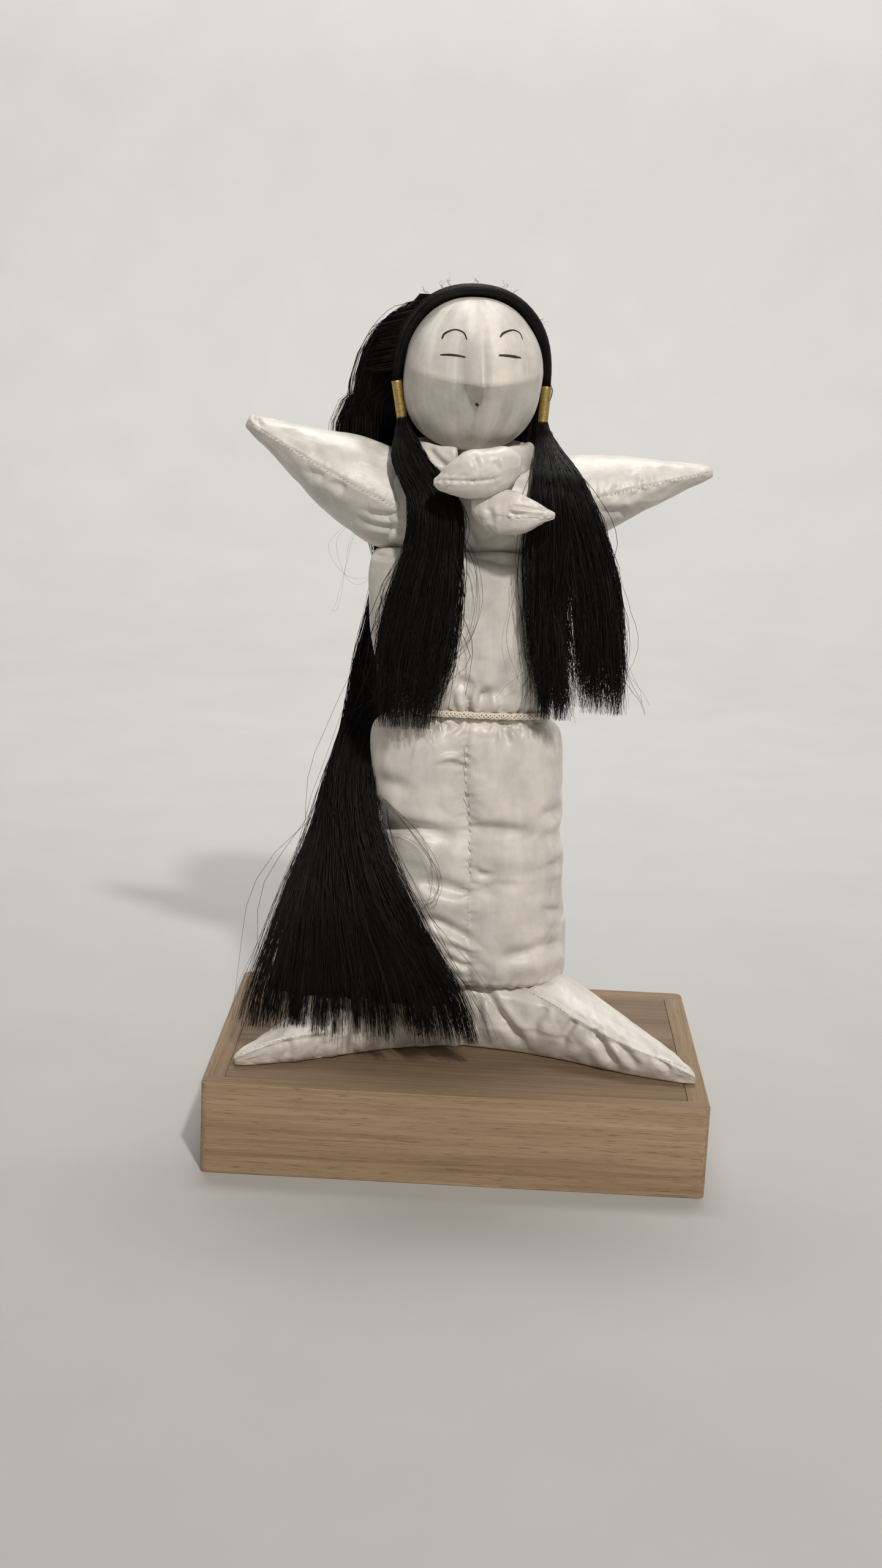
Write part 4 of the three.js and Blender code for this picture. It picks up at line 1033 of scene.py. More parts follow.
RIGHT_SEAM = ((-140, 48), (-127.2, 54.2), (-117.8, 58.3), (-108.4, 61.3), (-99, 63.8), (-80, 68), (-60, 73))
LEFT_SEAM = ((9.8, 111.9), (26.4, 107.2), (40.8, 101.3), (57.6, 93.1), (69.8, 85.6), (84.3, 78.2),
             (101.3, 69.9), (118.2, 63.4), (135, 58.6), (145.8, 54.9))
sew_leg("leg_right", -1, 1.14, RIGHT_SEAM, [
    (2.2, 2.6, (-91, 66), (-86, 57), (-89, 46)),
    (2.4, 2.6, (-61, 72), (-67, 60), (-64, 48)),
    (2.2, 2.8, (-27, 76), (-30, 64), (-28, 52)),
    (2.2, 2.4, (-13, 76), (-9, 68), (-12, 56)),
    (2.0, 2.4, (-108, 62), (-106, 54), (-110, 46)),
    (2.6, 2.2, (3, 103), (2, 83), (5, 60)),
])
sew_leg("leg_left", 1, 1.0, LEFT_SEAM, [
    (3.4, 2.3, (14, 103), (23, 87), (33, 75), (45, 62)),
    (2.6, 2.6, (12, 98), (11, 81), (17, 62)),
    (2.4, 2.2, (72, 84), (66, 74), (64, 62)),
    (3.2, 2.5, (82, 79), (91, 66), (103, 50)),
    (2.2, 2.2, (96, 73), (107, 61), (115, 52)),
    (1.8, 1.6, (122, 63), (130, 57), (134, 49)),
    (2.2, 2.4, (16, 111), (36, 107), (54, 109), (68, 112)),
    (1.6, 2.6, (54, 92), (47, 80), (50, 66)),
])

# %% [markdown]
# ## Shoulders and arms
#
# The arms are cones with a seam along the front of each. The seam stands out as an edge, light
# above and shaded below.

# %% Sew and stuff the shoulders and the arms
SHOULDER_X, SHOULDER_Z = -8, 337.9
SHOULDER_REACH = 50
PIVOT_Z = 340.4
SHOULDER_DEPTH, SHOULDER_HEIGHT = 31, 29.5
SHOULDER_SECTIONS = (
    (-0.98, 0.86, 0.78), (-0.6, 0.95, 0.95), (0, 0.99, 1.0), (0.6, 0.95, 0.95), (0.98, 0.86, 0.78))
shoulder_rows = [(SHOULDER_X + SHOULDER_REACH * share, BODY_Y, SHOULDER_Z,
                  SHOULDER_DEPTH * deep, SHOULDER_HEIGHT * tall) for share, tall, deep in SHOULDER_SECTIONS]
shoulder_rings = upright_rings(shoulder_rows, 2.2, 76, 2.4)
shoulder_skin = sewn_skin("shoulders_silk", shoulder_rings)
share = np.linspace(-1, 1, len(shoulder_rings))[:, None]
stuff(shoulder_skin, (np.abs(share) > 0.93) * 1.0, near(share, 0.5),
      slack=0.02, gather=0.09, pressure=3, cap=1.6 * MM)
refine(shoulder_skin)
lumps(shoulder_skin, np.random.default_rng(8), 26, 0.4)
crease(shoulder_skin, [
    (2.2, 2.0, (-68, 376), (-57, 372), (-46, 375)),
    (2.2, 2.0, (-60, 385), (-50, 383), (-38, 385)),
    (2.2, 2.0, (-4, 375), (-8, 382), (-15, 389)),
    (2.0, 2.2, (2, 375), (14, 383), (29, 390)),
])
finish_silk(shoulder_skin, "shoulders")

ARM_ROOT = 30
ARM_DEPTH = 26
ARM_REACH = 97
ARM_SIDES = 92
ARM_SECTIONS = ((0.2, 0.93, 0.98), (0.37, 0.83, 0.9), (0.55, 0.64, 0.71), (0.72, 0.44, 0.49),
                (0.86, 0.28, 0.32), (0.95, 0.18, 0.2), (1.0, 0.12, 0.12))


def sew_arm(name, side, lift, belly, fullness, folds, pleats_above, pleats_below):
    stations = [(-side * ARM_ROOT * math.sin(a), 0, 0, ARM_DEPTH * math.cos(a), ARM_ROOT * math.cos(a))
                for a in np.radians((72, 50, 35, 18, 0))]
    for part, tall, deep in ARM_SECTIONS:
        slim = 1 + (fullness - 1) * min(part * 3, 1)
        stations.append((side * ARM_REACH * part, 0, belly * math.sin(math.pi * part),
                         ARM_DEPTH * deep * slim, ARM_ROOT * tall * slim))
    rings = upright_rings(stations, 1.9, ARM_SIDES, 1.75)
    share = np.linspace(0, 1, len(rings))[:, None]
    columns = np.arange(ARM_SIDES)[None, :]
    from_seam = np.minimum(columns, ARM_SIDES - columns)
    from_back = np.abs(columns - ARM_SIDES // 2)
    edge = 2.4 * np.exp(-from_seam / 3) * smooth(share * 4) + 1.2 * np.exp(-from_back / 3.2)
    edge = edge * smooth((1.02 - share) * 8)
    rings = rings + unit(rings - rings.mean(1, keepdims=True)) * edge[..., None]
    swing = side * math.radians(lift)
    x, y, z = rings[..., 0], rings[..., 1], rings[..., 2]
    pivot_x = SHOULDER_X + side * SHOULDER_REACH
    rings = np.stack([pivot_x + x * math.cos(swing) - z * math.sin(swing), BODY_Y + y,
                      PIVOT_Z + x * math.sin(swing) + z * math.cos(swing)], -1)
    skin = sewn_skin(name + "_silk", rings)
    stuff(skin, (from_seam == 0) * 1.0 + (share < 0.05) + (share > 0.975),
          near(from_seam, 8) * smooth(share * 4) + 0.4 * near(from_back, 5),
          slack=0.006, gather=0.05, pressure=3, cap=1.6 * MM)
    seam = grid_of(skin)[int(len(rings) * 0.2):-1, 0]
    refine(skin)
    random = np.random.default_rng(9 + side)
    lumps(skin, random, 40, 0.15)
    pleat(skin, seam, random, 4.6, pleats_above, 0.45, width=1.3, ways=(side,))
    pleat(skin, seam, random, 7, pleats_below, 0.4, width=1.8, ways=(-side,))
    groove(skin, seam, 0.8, 0.8)
    crease(skin, folds)
    places, outward = lay_on(skin, seam)
    finish_silk(skin, name, body=None)
    stitches = lay_stitches(name + "_stitches", (places[:-2], outward[:-2]), 2.7 * MM, None,
                            length=2 * MM, thick=0.28 * MM, slant=1.0, lift=0.2 * MM)
    for piece in (skin, stitches):
        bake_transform(piece)


sew_arm("arm_right", -1, 26, -0.5, 1.0, [
    (1.5, 1.6, (-44, 391), (-56, 390), (-66, 391), (-76, 395)),
    (1.5, 1.6, (-44, 384), (-57, 384), (-68, 386), (-79, 391)),
    (1.3, 1.6, (-44, 377), (-58, 377), (-70, 378)),
    (1.8, 4.6, (-72, 438), (-62, 427), (-60, 418), (-64, 410)),
    (1.6, 2.4, (-82, 404), (-88, 407), (-94, 405)),
    (1.5, 2.2, (-95, 411), (-103, 413), (-109, 414)),
    (1.8, 1.2, (-132, 439), (-135, 442), (-134, 446)),
], 6, 8)
sew_arm("arm_left", 1, 15, 2, 0.9, [
    (1.4, 2.0, (68, 398), (80, 399), (87, 397), (93, 401)),
    (1.2, 1.8, (79, 402), (85, 400), (96, 406)),
    (1.2, 1.6, (91, 411), (90, 416), (93, 421)),
    (1.1, 1.8, (98, 413), (97, 419), (94, 427)),
    (1.1, 1.8, (79, 407), (76, 411), (80, 416)),
], 14, 6)

# %% [markdown]
# ## The tie
#
# A stuffed strip goes round the neck and is knotted in front. Each of its two ends is sewn shut
# in a flat seam between two corners, and the seam is puckered like the corner of a pillow.

# %% Sew the tie
FRONT_Y = BODY_Y - TORSO[3]
TIE_REACH = 34
TIE_SIZE = 22
NECK_WIDE, NECK_DEEP = 34, 31
LOOP_X, LOOP_Y, LOOP_Z = -9.4, 3, 366.2


def tie_rows(stations):
    return [(TIE_REACH * x, FRONT_Y - TIE_SIZE * forward, PIVOT_Z + TIE_SIZE * up,
             TIE_SIZE * deep, TIE_SIZE * tall) for x, forward, up, tall, deep in stations]


def tie_loop_rings():
    rings = []
    for turn_now in np.radians(np.linspace(-76, 256, 96)):
        facing = max(0.0, -math.sin(turn_now))
        out = unit(np.array([math.cos(turn_now) / NECK_WIDE, math.sin(turn_now) / NECK_DEEP, 0]))
        thick, up = oval(4.3, 10.8 * (1 - 0.2 * facing**4), 2.2, 36)
        centre = np.array([LOOP_X + NECK_WIDE * math.cos(turn_now), LOOP_Y + NECK_DEEP * math.sin(turn_now),
                           LOOP_Z - 0.6 * facing**2])
        rings.append(centre + thick[:, None] * out + up[:, None] * np.array([0, 0, 1]))
    return np.array(rings)


tie_loop = sewn_skin("neck_tie_loop_silk", tie_loop_rings())
refine(tie_loop)
lumps(tie_loop, np.random.default_rng(12), 18, 0.5)
crease(tie_loop, [
    (1.4, 1.4, (-34, 430), (-28, 424), (-20, 418)),
    (1.2, 1.3, (-38, 424), (-32, 418), (-26, 414)),
    (1.4, 1.4, (20, 424), (16, 416), (14, 408)),
])
finish_silk(tie_loop, "neck_tie_loop")

tie_knot = sewn_skin("neck_tie_knot_silk", upright_rings(tie_rows((
    (-0.265, 0.205, 0.682, 0.25, 0.17), (-0.088, 0.25, 0.727, 0.53, 0.31), (0.118, 0.295, 0.773, 0.67, 0.38),
    (0.353, 0.273, 0.818, 0.53, 0.31), (0.5, 0.227, 0.864, 0.17, 0.13))), 1.6, 44, 2.1))
refine(tie_knot)
finish_silk(tie_knot, "neck_tie_knot")

END_SIDES = 68
END_SEAM = 66


def sew_tie_end(name, stations, folds, pleat_length):
    rings = upright_rings(tie_rows(stations), 1.2, END_SIDES, 1.85)
    skin = sewn_skin(name + "_silk", rings)
    share = np.linspace(0, 1, len(rings))[:, None]
    from_seam = np.arange(END_SIDES)[None, :] - END_SEAM
    sewn = share < 0.72
    stuff(skin, (from_seam == 0) * sewn + (share < 0.03) + (share > 0.94),
          near(from_seam, 9) * sewn + 0.6 * near(share - 0.06, 0.14),
          slack=0.02, gather=0.12, pressure=3.5, cap=1.1 * MM)
    seam = grid_of(skin)[1:int(len(rings) * 0.7), END_SEAM]
    refine(skin)
    random = np.random.default_rng(14)
    lumps(skin, random, 15, 0.25)
    pleat(skin, seam, random, 4.2, pleat_length, 0.6, width=1.1)
    crease(skin, folds)
    finish_silk(skin, name)


sew_tie_end("neck_tie_upper_end", (
    (-0.882, 1.318, 0.727, 0.08, 0.06), (-0.735, 1.273, 0.75, 0.27, 0.26), (-0.412, 1.182, 0.932, 0.6, 0.49),
    (-0.029, 1.091, 1.023, 0.67, 0.53), (0.353, 0.955, 1.136, 0.555, 0.465),
    (0.588, 0.818, 1.227, 0.24, 0.22)), [
    (0.8, 0.8, (-29, 412.5), (-21, 412.6), (-12, 412.6), (0, 413.6), (9, 416), (15, 418.6)),
    (0.8, 1.6, (-23, 415), (-19, 419), (-14, 423)),
    (0.9, 1.6, (-8, 427), (-5, 421), (-6, 416)),
    (0.8, 1.6, (4, 425), (7, 421), (8, 418)),
], 5)
sew_tie_end("neck_tie_lower_end", (
    (1.206, 1.273, 0, 0.07, 0.06), (1.04, 1.227, 0, 0.24, 0.24), (0.706, 1.091, 0, 0.5, 0.43),
    (0.353, 0.955, 0.02, 0.62, 0.46), (0.03, 0.818, 0.06, 0.55, 0.38), (-0.23, 0.727, 0.14, 0.26, 0.2)), [
    (0.9, 0.8, (41, 397.6), (33, 398.2), (26, 398.6), (17, 399), (11, 396), (9, 391)),
    (1.0, 1.0, (14, 396), (20, 394.5), (28, 396)),
    (0.9, 1.0, (18, 402), (25, 403), (31, 401)),
    (0.9, 1.6, (2, 398), (4, 392), (2, 388)),
], 4)

# %% [markdown]
# ## The head
#
# The head is silk stretched over a carved core, so it stays smooth and keeps one sharp line: a
# ridge that runs across the face at the nose. Above it the face leans back into the forehead
# and a wedge of a nose stands out, and below it the face falls away to the chin with two faint
# upright crests. A sphere with many rings is drawn into this shape. The core is the same shape,
# a little smaller.

# %% Shape the head
HEAD_X, HEAD_Y, HEAD_Z = -11.4, 3, 411.4
HEAD_WIDE, HEAD_DEEP = 41.5, 39
HEAD_ABOVE, HEAD_BELOW = 50, 40
HEAD_POWER = 2.25
HEAD_TURN = math.radians(9)
to_room = Matrix.Translation(above_stand((HEAD_X, HEAD_Y, HEAD_Z))) @ Matrix.Rotation(HEAD_TURN, 4, "Z")
ROOM_ARRAY = np.array(to_room)


def head_to_room(points):
    """Points in the head's own frame, in mm, to places in the room, in metres."""
    return np.asarray(points, float) * MM @ ROOM_ARRAY[:3, :3].T + ROOM_ARRAY[:3, 3]


def head_to_stand(points):
    """The same in mm above the stand, as sewn_skin takes them."""
    return (head_to_room(points) - (0, 0, STAND_TOP)) / MM


def head_form(sphere, inset=0.0, relief=1.0):
    """Draws the points of a unit sphere into the head. relief is the share of its ridge and nose."""
    polar = np.arcsin(np.clip(sphere[:, 2], -1, 1))
    around = np.arctan2(sphere[:, 1], sphere[:, 0])
    facing = np.clip(-np.sin(around), 0, 1)
    level = bent(np.cos(polar), HEAD_POWER)
    rise = np.where(polar > 0, HEAD_ABOVE - inset, HEAD_BELOW - inset) * bent(np.sin(polar), HEAD_POWER)
    low = np.clip(-rise / HEAD_BELOW, 0, 1)
    chin_cut = 1 - 0.15 * smooth(facing * 1.8) * (1 - np.clip(1 - low / 0.62, 0, 1) ** 1.7)
    x = (HEAD_WIDE - inset) * level * bent(np.cos(around), 2.1)
    y = (HEAD_DEEP - inset) * level * bent(np.sin(around), 2.1) * chin_cut
    above = np.clip(1 - rise / 32, 0, 1) ** 1.5 * (rise >= 0)
    below = np.clip(1 + rise / 28, 0, 1) ** 2 * (rise < 0)
    ridge = 5.2 * (above + below) * smooth(facing * 3.2)
    wedge = np.clip(1 - np.where(x < 0, -x / 11.5, x / 4), 0, 1)
    nose = 6.8 * np.where(rise >= 0, wedge * np.clip(1 - rise / 36, 0, 1), np.clip(wedge + rise / 12, 0, 1))
    crest = np.clip(-rise / 5, 0, 1) * np.clip(1.1 + rise / 40, 0, 1)
    crest = crest * (2.2 * near(x + 0.2, 2.4) + 1.1 * near(x + 15.7, 4))
    y = y - relief * (ridge + (nose + crest) * (sphere[:, 1] < 0))
    sag = 7.5 * (np.abs(x) / HEAD_WIDE) ** 1.6 * smooth(facing * 5) * near(rise, 34)
    return head_to_room(np.stack([x, y, rise + sag], 1))


def shaped_sphere(name, segments, rings, shift=0.0, **form):
    deselect_all()
    bpy.ops.mesh.primitive_uv_sphere_add(segments=segments, ring_count=rings, radius=1)
    ball = bpy.context.object
    ball.name = ball.data.name = name
    set_points(ball, head_form(points_of(ball), **form) + (0, shift, 0))
    bpy.ops.object.shade_smooth()
    return ball


head_skin = shaped_sphere("head_silk_stretched", 184, 120)
for loop in head_skin.data.uv_layers[0].data:
    loop.uv = (loop.uv[0] * 0.25, loop.uv[1] * 0.13)
clothe(head_skin, face_silk, "head", ["head_silk"])
core = shaped_sphere("head_core_carved", 96, 64, 0.8 * MM, inset=2, relief=0.7)
clothe(core, inner_wood, "head", ["head_core"])

# %% [markdown]
# ## The drawn face
#
# Two arched brows, two lines for closed eyes and a small dark red dot for a mouth are drawn on
# the silk. Each line is a narrow ribbon laid on the surface: its points are dropped on the head
# along the camera's line of sight, and it is thickest in the middle or at one end, as a brush
# leaves it.

# %% Draw the face
FACE_PLANE = -36 * MM
head_tree = tree_of(head_skin)


def ink_line(name, marks, widths):
    """marks are x and z in mm where the line is seen, widths are in mm from its start to its end."""
    placed = [drop_from_camera(head_tree, x, z, FACE_PLANE) for x, z in curve_through(marks, 14)]
    half = np.interp(np.linspace(0, 1, len(placed)), np.linspace(0, 1, len(widths)), widths) * MM / 2
    points, faces = [], []
    for i, (place, normal) in enumerate(placed):
        ahead = placed[min(i + 1, len(placed) - 1)][0] - placed[max(i - 1, 0)][0]
        side = normal.cross(ahead).normalized() * half[i]
        lifted = place + normal * 0.06 * MM
        points += [lifted + side, lifted + normal * 0.05 * MM, lifted - side]
        if i:
            a = len(points) - 6
            faces += [(a, a + 3, a + 4, a + 1), (a + 1, a + 4, a + 5, a + 2)]
    clothe(new_piece(name, points, faces), ink, "head")


for name, marks, widths in (
        ("brow_right", ((-29.3, 493.4), (-27.6, 496.6), (-22.0, 498.9), (-17.0, 497.4), (-14.9, 493.6)),
         (1.1, 1.6, 1.1, 1.0, 0.7)),
        ("brow_left", ((4.2, 495.8), (6.0, 498.2), (11.2, 500.1), (15.3, 498.6), (17.2, 495.0)),
         (0.9, 1.5, 1.1, 1.0, 0.6)),
        ("eye_right", ((-29.9, 484.3), (-25.0, 484.6), (-19.5, 484.3), (-15.2, 483.6)), (0.8, 1.5, 1.4, 0.8)),
        ("eye_left", ((3.9, 485.6), (8.0, 485.6), (13.0, 485.2), (16.8, 484.7)), (1.1, 1.6, 1.8, 0.8))):
    ink_line(name, marks, widths)

deselect_all()
mouth_place, mouth_normal = drop_from_camera(head_tree, -7.3, 457.1, FACE_PLANE)
bpy.ops.mesh.primitive_uv_sphere_add(segments=20, ring_count=10, radius=1, location=mouth_place)
mouth = bpy.context.object
mouth.rotation_mode = "QUATERNION"
mouth.rotation_quaternion = mouth_normal.to_track_quat("Z", "Y")
mouth.scale = (1.2 * MM, 1.15 * MM, 0.4 * MM)
put_down(mouth, "mouth_dot")
bpy.ops.object.shade_smooth()
clothe(mouth, red_ink, "head")

# %% [markdown]
# ## Hair
#
# Hair is modelled in two layers. A dark mass fills the middle so that nothing shows through,
# and many fine strands lie over it, gather into clumps, and end raggedly. A strand is a
# three-sided tube that tapers to a point. All strands of a lock are one mesh, made in one go
# from arrays of points, because thousands of separate objects would be slow.

# %% Strands from arrays of points
def set_shade(piece, values):
    """Gives every point its tone, or all points the same one, for the hair materials to read."""
    tone = piece.data.attributes.new("shade", "FLOAT", "POINT")
    tone.data.foreach_set("value", np.broadcast_to(values, len(piece.data.vertices)).astype(np.float32))


def dress_hair(piece, material, body=None, replaced=(), blend=None):
    clothe(piece, material, body, replaced)
    if blend:
        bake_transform(piece)


def lay_strands(name, paths, radius, shade, body=None, replaced=(), blend=None):
    """paths has a row of points in metres for each strand. radius is in mm, one value or one for each."""
    count, steps, _ = paths.shape
    ahead = unit(np.gradient(paths, axis=1))
    side = unit(np.cross(ahead, np.array([0.31, 0.9, 0.3])))
    up = np.cross(ahead, side)
    taper = np.interp(np.linspace(0, 1, steps), [0, 0.05, 0.8, 1], [0.7, 1, 0.95, 0.4])
    thick = (np.broadcast_to(radius, count)[:, None] * MM * taper)[..., None]
    corners = [paths + (side * math.cos(angle) + up * math.sin(angle)) * thick
               for angle in np.arange(3) * 2 * math.pi / 3]
    points = np.stack(corners, 2)
    base = (np.arange(count)[:, None] * steps + np.arange(steps - 1)).reshape(-1, 1) * 3
    quads = np.concatenate([base + (a, b, b + 3, a + 3) for a, b in ((0, 1), (1, 2), (2, 0))])
    start = np.arange(count)[:, None] * steps * 3
    caps = np.concatenate([start + (2, 1, 0), start + (steps - 1) * 3 + (0, 1, 2)])
    piece = new_piece(name)
    mesh = piece.data
    mesh.vertices.add(points.size // 3)
    mesh.vertices.foreach_set("co", points.ravel())
    mesh.loops.add(quads.size + caps.size)
    mesh.loops.foreach_set("vertex_index", np.concatenate([quads.ravel(), caps.ravel()]).astype(np.int32))
    mesh.polygons.add(len(quads) + len(caps))
    loop_starts = np.concatenate([np.arange(len(quads)) * 4, quads.size + np.arange(len(caps)) * 3])
    mesh.polygons.foreach_set("loop_start", loop_starts.astype(np.int32))
    mesh.polygons.foreach_set("use_smooth", np.ones(len(loop_starts), bool))
    mesh.update(calc_edges=True)
    set_shade(piece, np.repeat(shade, steps * 3))
    dress_hair(piece, strand_black, body, replaced, blend)


def smooth_noise(random, count, steps, knots):
    """Smooth wandering along each strand: a few random knots with a curve through them."""
    values = random.normal(size=(count, knots))
    marks = np.linspace(0, knots - 1, steps)
    low = np.clip(marks.astype(int), 0, knots - 2)
    part = smooth(marks - low)
    return values[:, low] * (1 - part) + values[:, low + 1] * part


def lay_hair(random, stations, count, steps, clumps, spread=(0.35, 1.04), ragged=0.04, wander=1.0,
             loose=0.03, pull=0.75, kink=0.22, longest=1.03):
    """Strands through a lock. Stations are z, x, y, half width, half depth and turn, above the stand."""
    fine = curve_through(stations, 16)
    walked = walked_along(fine[:, :3])
    angle = random.uniform(0, 2 * math.pi, count)
    out = np.sqrt(random.uniform(spread[0] ** 2, spread[1] ** 2, count))
    a, b = np.cos(angle) * out, np.sin(angle) * out
    middles = random.integers(0, count, clumps)
    nearest = ((a[:, None] - a[middles]) ** 2 + (b[:, None] - b[middles]) ** 2).argmin(1)
    clump_a, clump_b = a[middles][nearest], b[middles][nearest]
    clump_length = random.normal(0, ragged, clumps)[nearest]
    lengths = np.clip(1 + random.normal(0, ragged, count) + clump_length, 0.8, longest)
    part = np.linspace(0, 1, steps)
    share = part * lengths[:, None]
    z, x, y, wide, deep, turned = [
        np.interp(np.clip(share, 0, 1), walked / walked[-1], column) for column in fine.T]
    drawn = pull * smooth((part - 0.1) / 0.9)
    across = (a[:, None] * (1 - drawn) + clump_a[:, None] * drawn) * wide
    back = (b[:, None] * (1 - drawn) + clump_b[:, None] * drawn) * deep
    c, s = np.cos(np.radians(turned)), np.sin(np.radians(turned))
    free = part**1.3 * np.where(random.uniform(size=count) < loose, 5.0, 1.0)[:, None] * wander
    x = x + across * c - back * s + smooth_noise(random, count, steps, 6) * free
    x = x + random.normal(0, kink, x.shape)
    y = y + across * s + back * c + smooth_noise(random, count, steps, 6) * free * 0.6
    y = y + random.normal(0, kink, x.shape)
    return above_stand(np.stack([x, y, z - np.clip(share - 1, 0, None) * walked[-1]], -1))


def hair_mass(name, stations, power, shrink, end_share=1.0, uneven=0.0, phase=0.0):
    """The dark filling of a lock: the same sections, a little smaller, with a thin uneven lower end."""
    fine = even_rows(stations, 6)
    fine = fine[:max(3, int(len(fine) * end_share))]
    rings = []
    for end_row, (z, x, y, wide, deep, turned) in enumerate(fine, 6 - len(fine)):
        across, back = oval(wide * shrink, deep * shrink, power, 40)
        c, s = math.cos(math.radians(turned)), math.sin(math.radians(turned))
        ring = np.stack([x + across * c - back * s, y + across * s + back * c, np.full(40, z)], 1)
        if end_row > 0:
            middle = ring.mean(0)
            ring = middle + (ring - middle) * (1, math.sqrt(1 - (end_row / 6.2) ** 2), 1)
            wave = np.cos(ring[:, 0] / 2.9 + phase) + 0.7 * np.cos(ring[:, 0] / 1.3 + 2 * phase)
            ring[:, 2] += uneven * wave * end_row / 6
        rings.append(ring)
    mass = sewn_skin(name, np.array(rings))
    set_shade(mass, np.random.default_rng(5).uniform(0, 1, len(mass.data.vertices)))
    return mass


def turning_between(top, bottom):
    """The head, the doll and two heights in mm above the stand; hair given them only has its place baked into
    its mesh.
    """
    return "head", "doll", Vector(above_stand((0, 0, top))), Vector(above_stand((0, 0, bottom)))


# %% [markdown]
# ## The band over the head
#
# Black hair is laid in a smooth thick band from one gold tube over the top of the head to the
# other. It is a swept ring shape, thin and round where it enters the tubes and broad on top,
# with fine strands lying along it.

# %% Lay the band
OUTWARD = 3.9
BAND_END = math.asin(-0.2 / (HEAD_ABOVE + OUTWARD))
FORWARD = np.array([0, 1, 0])


def band_middle(angle):
    x = (HEAD_WIDE + OUTWARD) * bent(np.cos(angle), HEAD_POWER)
    return np.stack([x, 0 * angle, (HEAD_ABOVE + OUTWARD) * bent(np.sin(angle), HEAD_POWER)], -1)


def band_section(angle):
    """Middle, outward direction, half width and half thickness in mm, in the head's own frame."""
    spread = np.clip((np.sin(angle) - 0.02) / 0.5, 0, 1)
    half_wide = 2.4 + (9.8 - 2.4) * np.sin(spread * math.pi / 2)
    half_thick = 2.4 + (3.5 - 2.4) * spread
    middle = band_middle(angle)
    ahead = unit(band_middle(angle + 0.01) - middle)
    outward = np.stack([ahead[..., 2], 0 * angle, -ahead[..., 0]], -1)
    return middle, outward, half_wide, half_thick


rings = []
for middle, outward, wide, thick in zip(*band_section(np.linspace(BAND_END, math.pi - BAND_END, 110))):
    front, height = oval(wide, thick * 0.96, 2.2, 40)
    rings.append(middle + height[:, None] * outward + front[:, None] * FORWARD)
band_mass = sewn_skin("hair_band_mass", head_to_stand(rings))
set_shade(band_mass, 0.4)
dress_hair(band_mass, band_black, "head", ["hair_band"])

random = np.random.default_rng(11)
count, steps = 330, 34
around = random.uniform(0, 2 * math.pi, count)[:, None]
middle, outward, wide, thick = band_section(np.linspace(BAND_END, math.pi - BAND_END, steps))
lie = 1.0 + random.uniform(-0.06, 0.04, count)[:, None]
around = around + smooth_noise(random, count, steps, 5) * 0.12
height, front = np.sin(around) * thick * lie, np.cos(around) * wide * lie
paths = middle + outward * height[..., None] + FORWARD * front[..., None]
lay_strands("hair_band_strands", head_to_room(paths), 0.16, random.uniform(0, 0.6, count), "head")

# %% [markdown]
# ## Gold tubes
#
# Each side of the band goes down into a tube of rubbed gilt metal, and comes out below as a
# lock. The tube is a cylinder without ends. It gets a wall, rolled edges and a few shallow
# dents, and leans in a little.

# %% Make the gold tubes
TUBE_RADIUS = 3.1
TUBE_LENGTH = 23.5
TUBES = {}
for name, side, lean in (("right", -1, 10.5), ("left", 1, 3)):
    deselect_all()
    bpy.ops.mesh.primitive_cylinder_add(
        vertices=48, radius=TUBE_RADIUS * MM, depth=TUBE_LENGTH * MM, end_fill_type="NOTHING")
    tube = bpy.context.object
    open_mesh()
    bpy.ops.mesh.subdivide(number_cuts=9)
    close_mesh()
    shaped = points_of(tube)
    around = np.arctan2(shaped[:, 1], shaped[:, 0])
    high = shaped[:, 2] / (TUBE_LENGTH / 2 * MM)
    swell = 1 + 0.025 * near(np.abs(high) - 1, 0.08) - 0.02 * near(high - 0.3, 0.4) * near(around + 1.2, 0.6)
    swell -= 0.025 * near(high + 0.45, 0.3) * near(around + 2.1, 0.5)
    shaped[:, :2] = np.stack([np.cos(around), np.sin(around)], 1) * (TUBE_RADIUS * MM * swell)[:, None]
    shaped[:, 2] -= TUBE_LENGTH / 2 * MM
    set_points(tube, shaped)
    hung = Matrix.Translation((side * (HEAD_WIDE + OUTWARD) * MM, 0, -0.5 * MM))
    place = to_room @ hung @ Matrix.Rotation(side * math.radians(lean), 4, "Y")
    tube.matrix_world = place
    put_down(tube, f"gold_tube_{name}_gilt")
    apply_modifier(tube, "SOLIDIFY", thickness=0.6 * MM, offset=-1)
    apply_modifier(tube, "BEVEL", width=0.14 * MM, segments=2, limit_method="ANGLE",
                   angle_limit=math.radians(50))
    take_up(tube)
    bpy.ops.object.shade_smooth_by_angle(angle=math.radians(40))
    clothe(tube, gilt, "head", [f"gold_tube_{name}"])
    TUBES[side] = np.array([place.translation, place @ Vector((0, 0, -TUBE_LENGTH * MM))])

for name, side in (("right", -1), ("left", 1)):
    top, bottom = TUBES[side]
    random = np.random.default_rng(20 + side)
    count = 90
    angle = random.uniform(0, 2 * math.pi, count)
    out = np.sqrt(random.uniform(0, 1, count)) * 2.3 * MM
    t = np.linspace(-0.12, 1.12, 8)[:, None]
    offset = np.stack([np.cos(angle) * out, np.sin(angle) * out, 0 * out], 1)
    paths = top * (1 - t) + bottom * t + offset[:, None]
    lay_strands(f"tube_hair_{name}_strands", paths, 0.3, random.uniform(0, 0.5, count), "head",
                [f"tube_hair_{name}"])
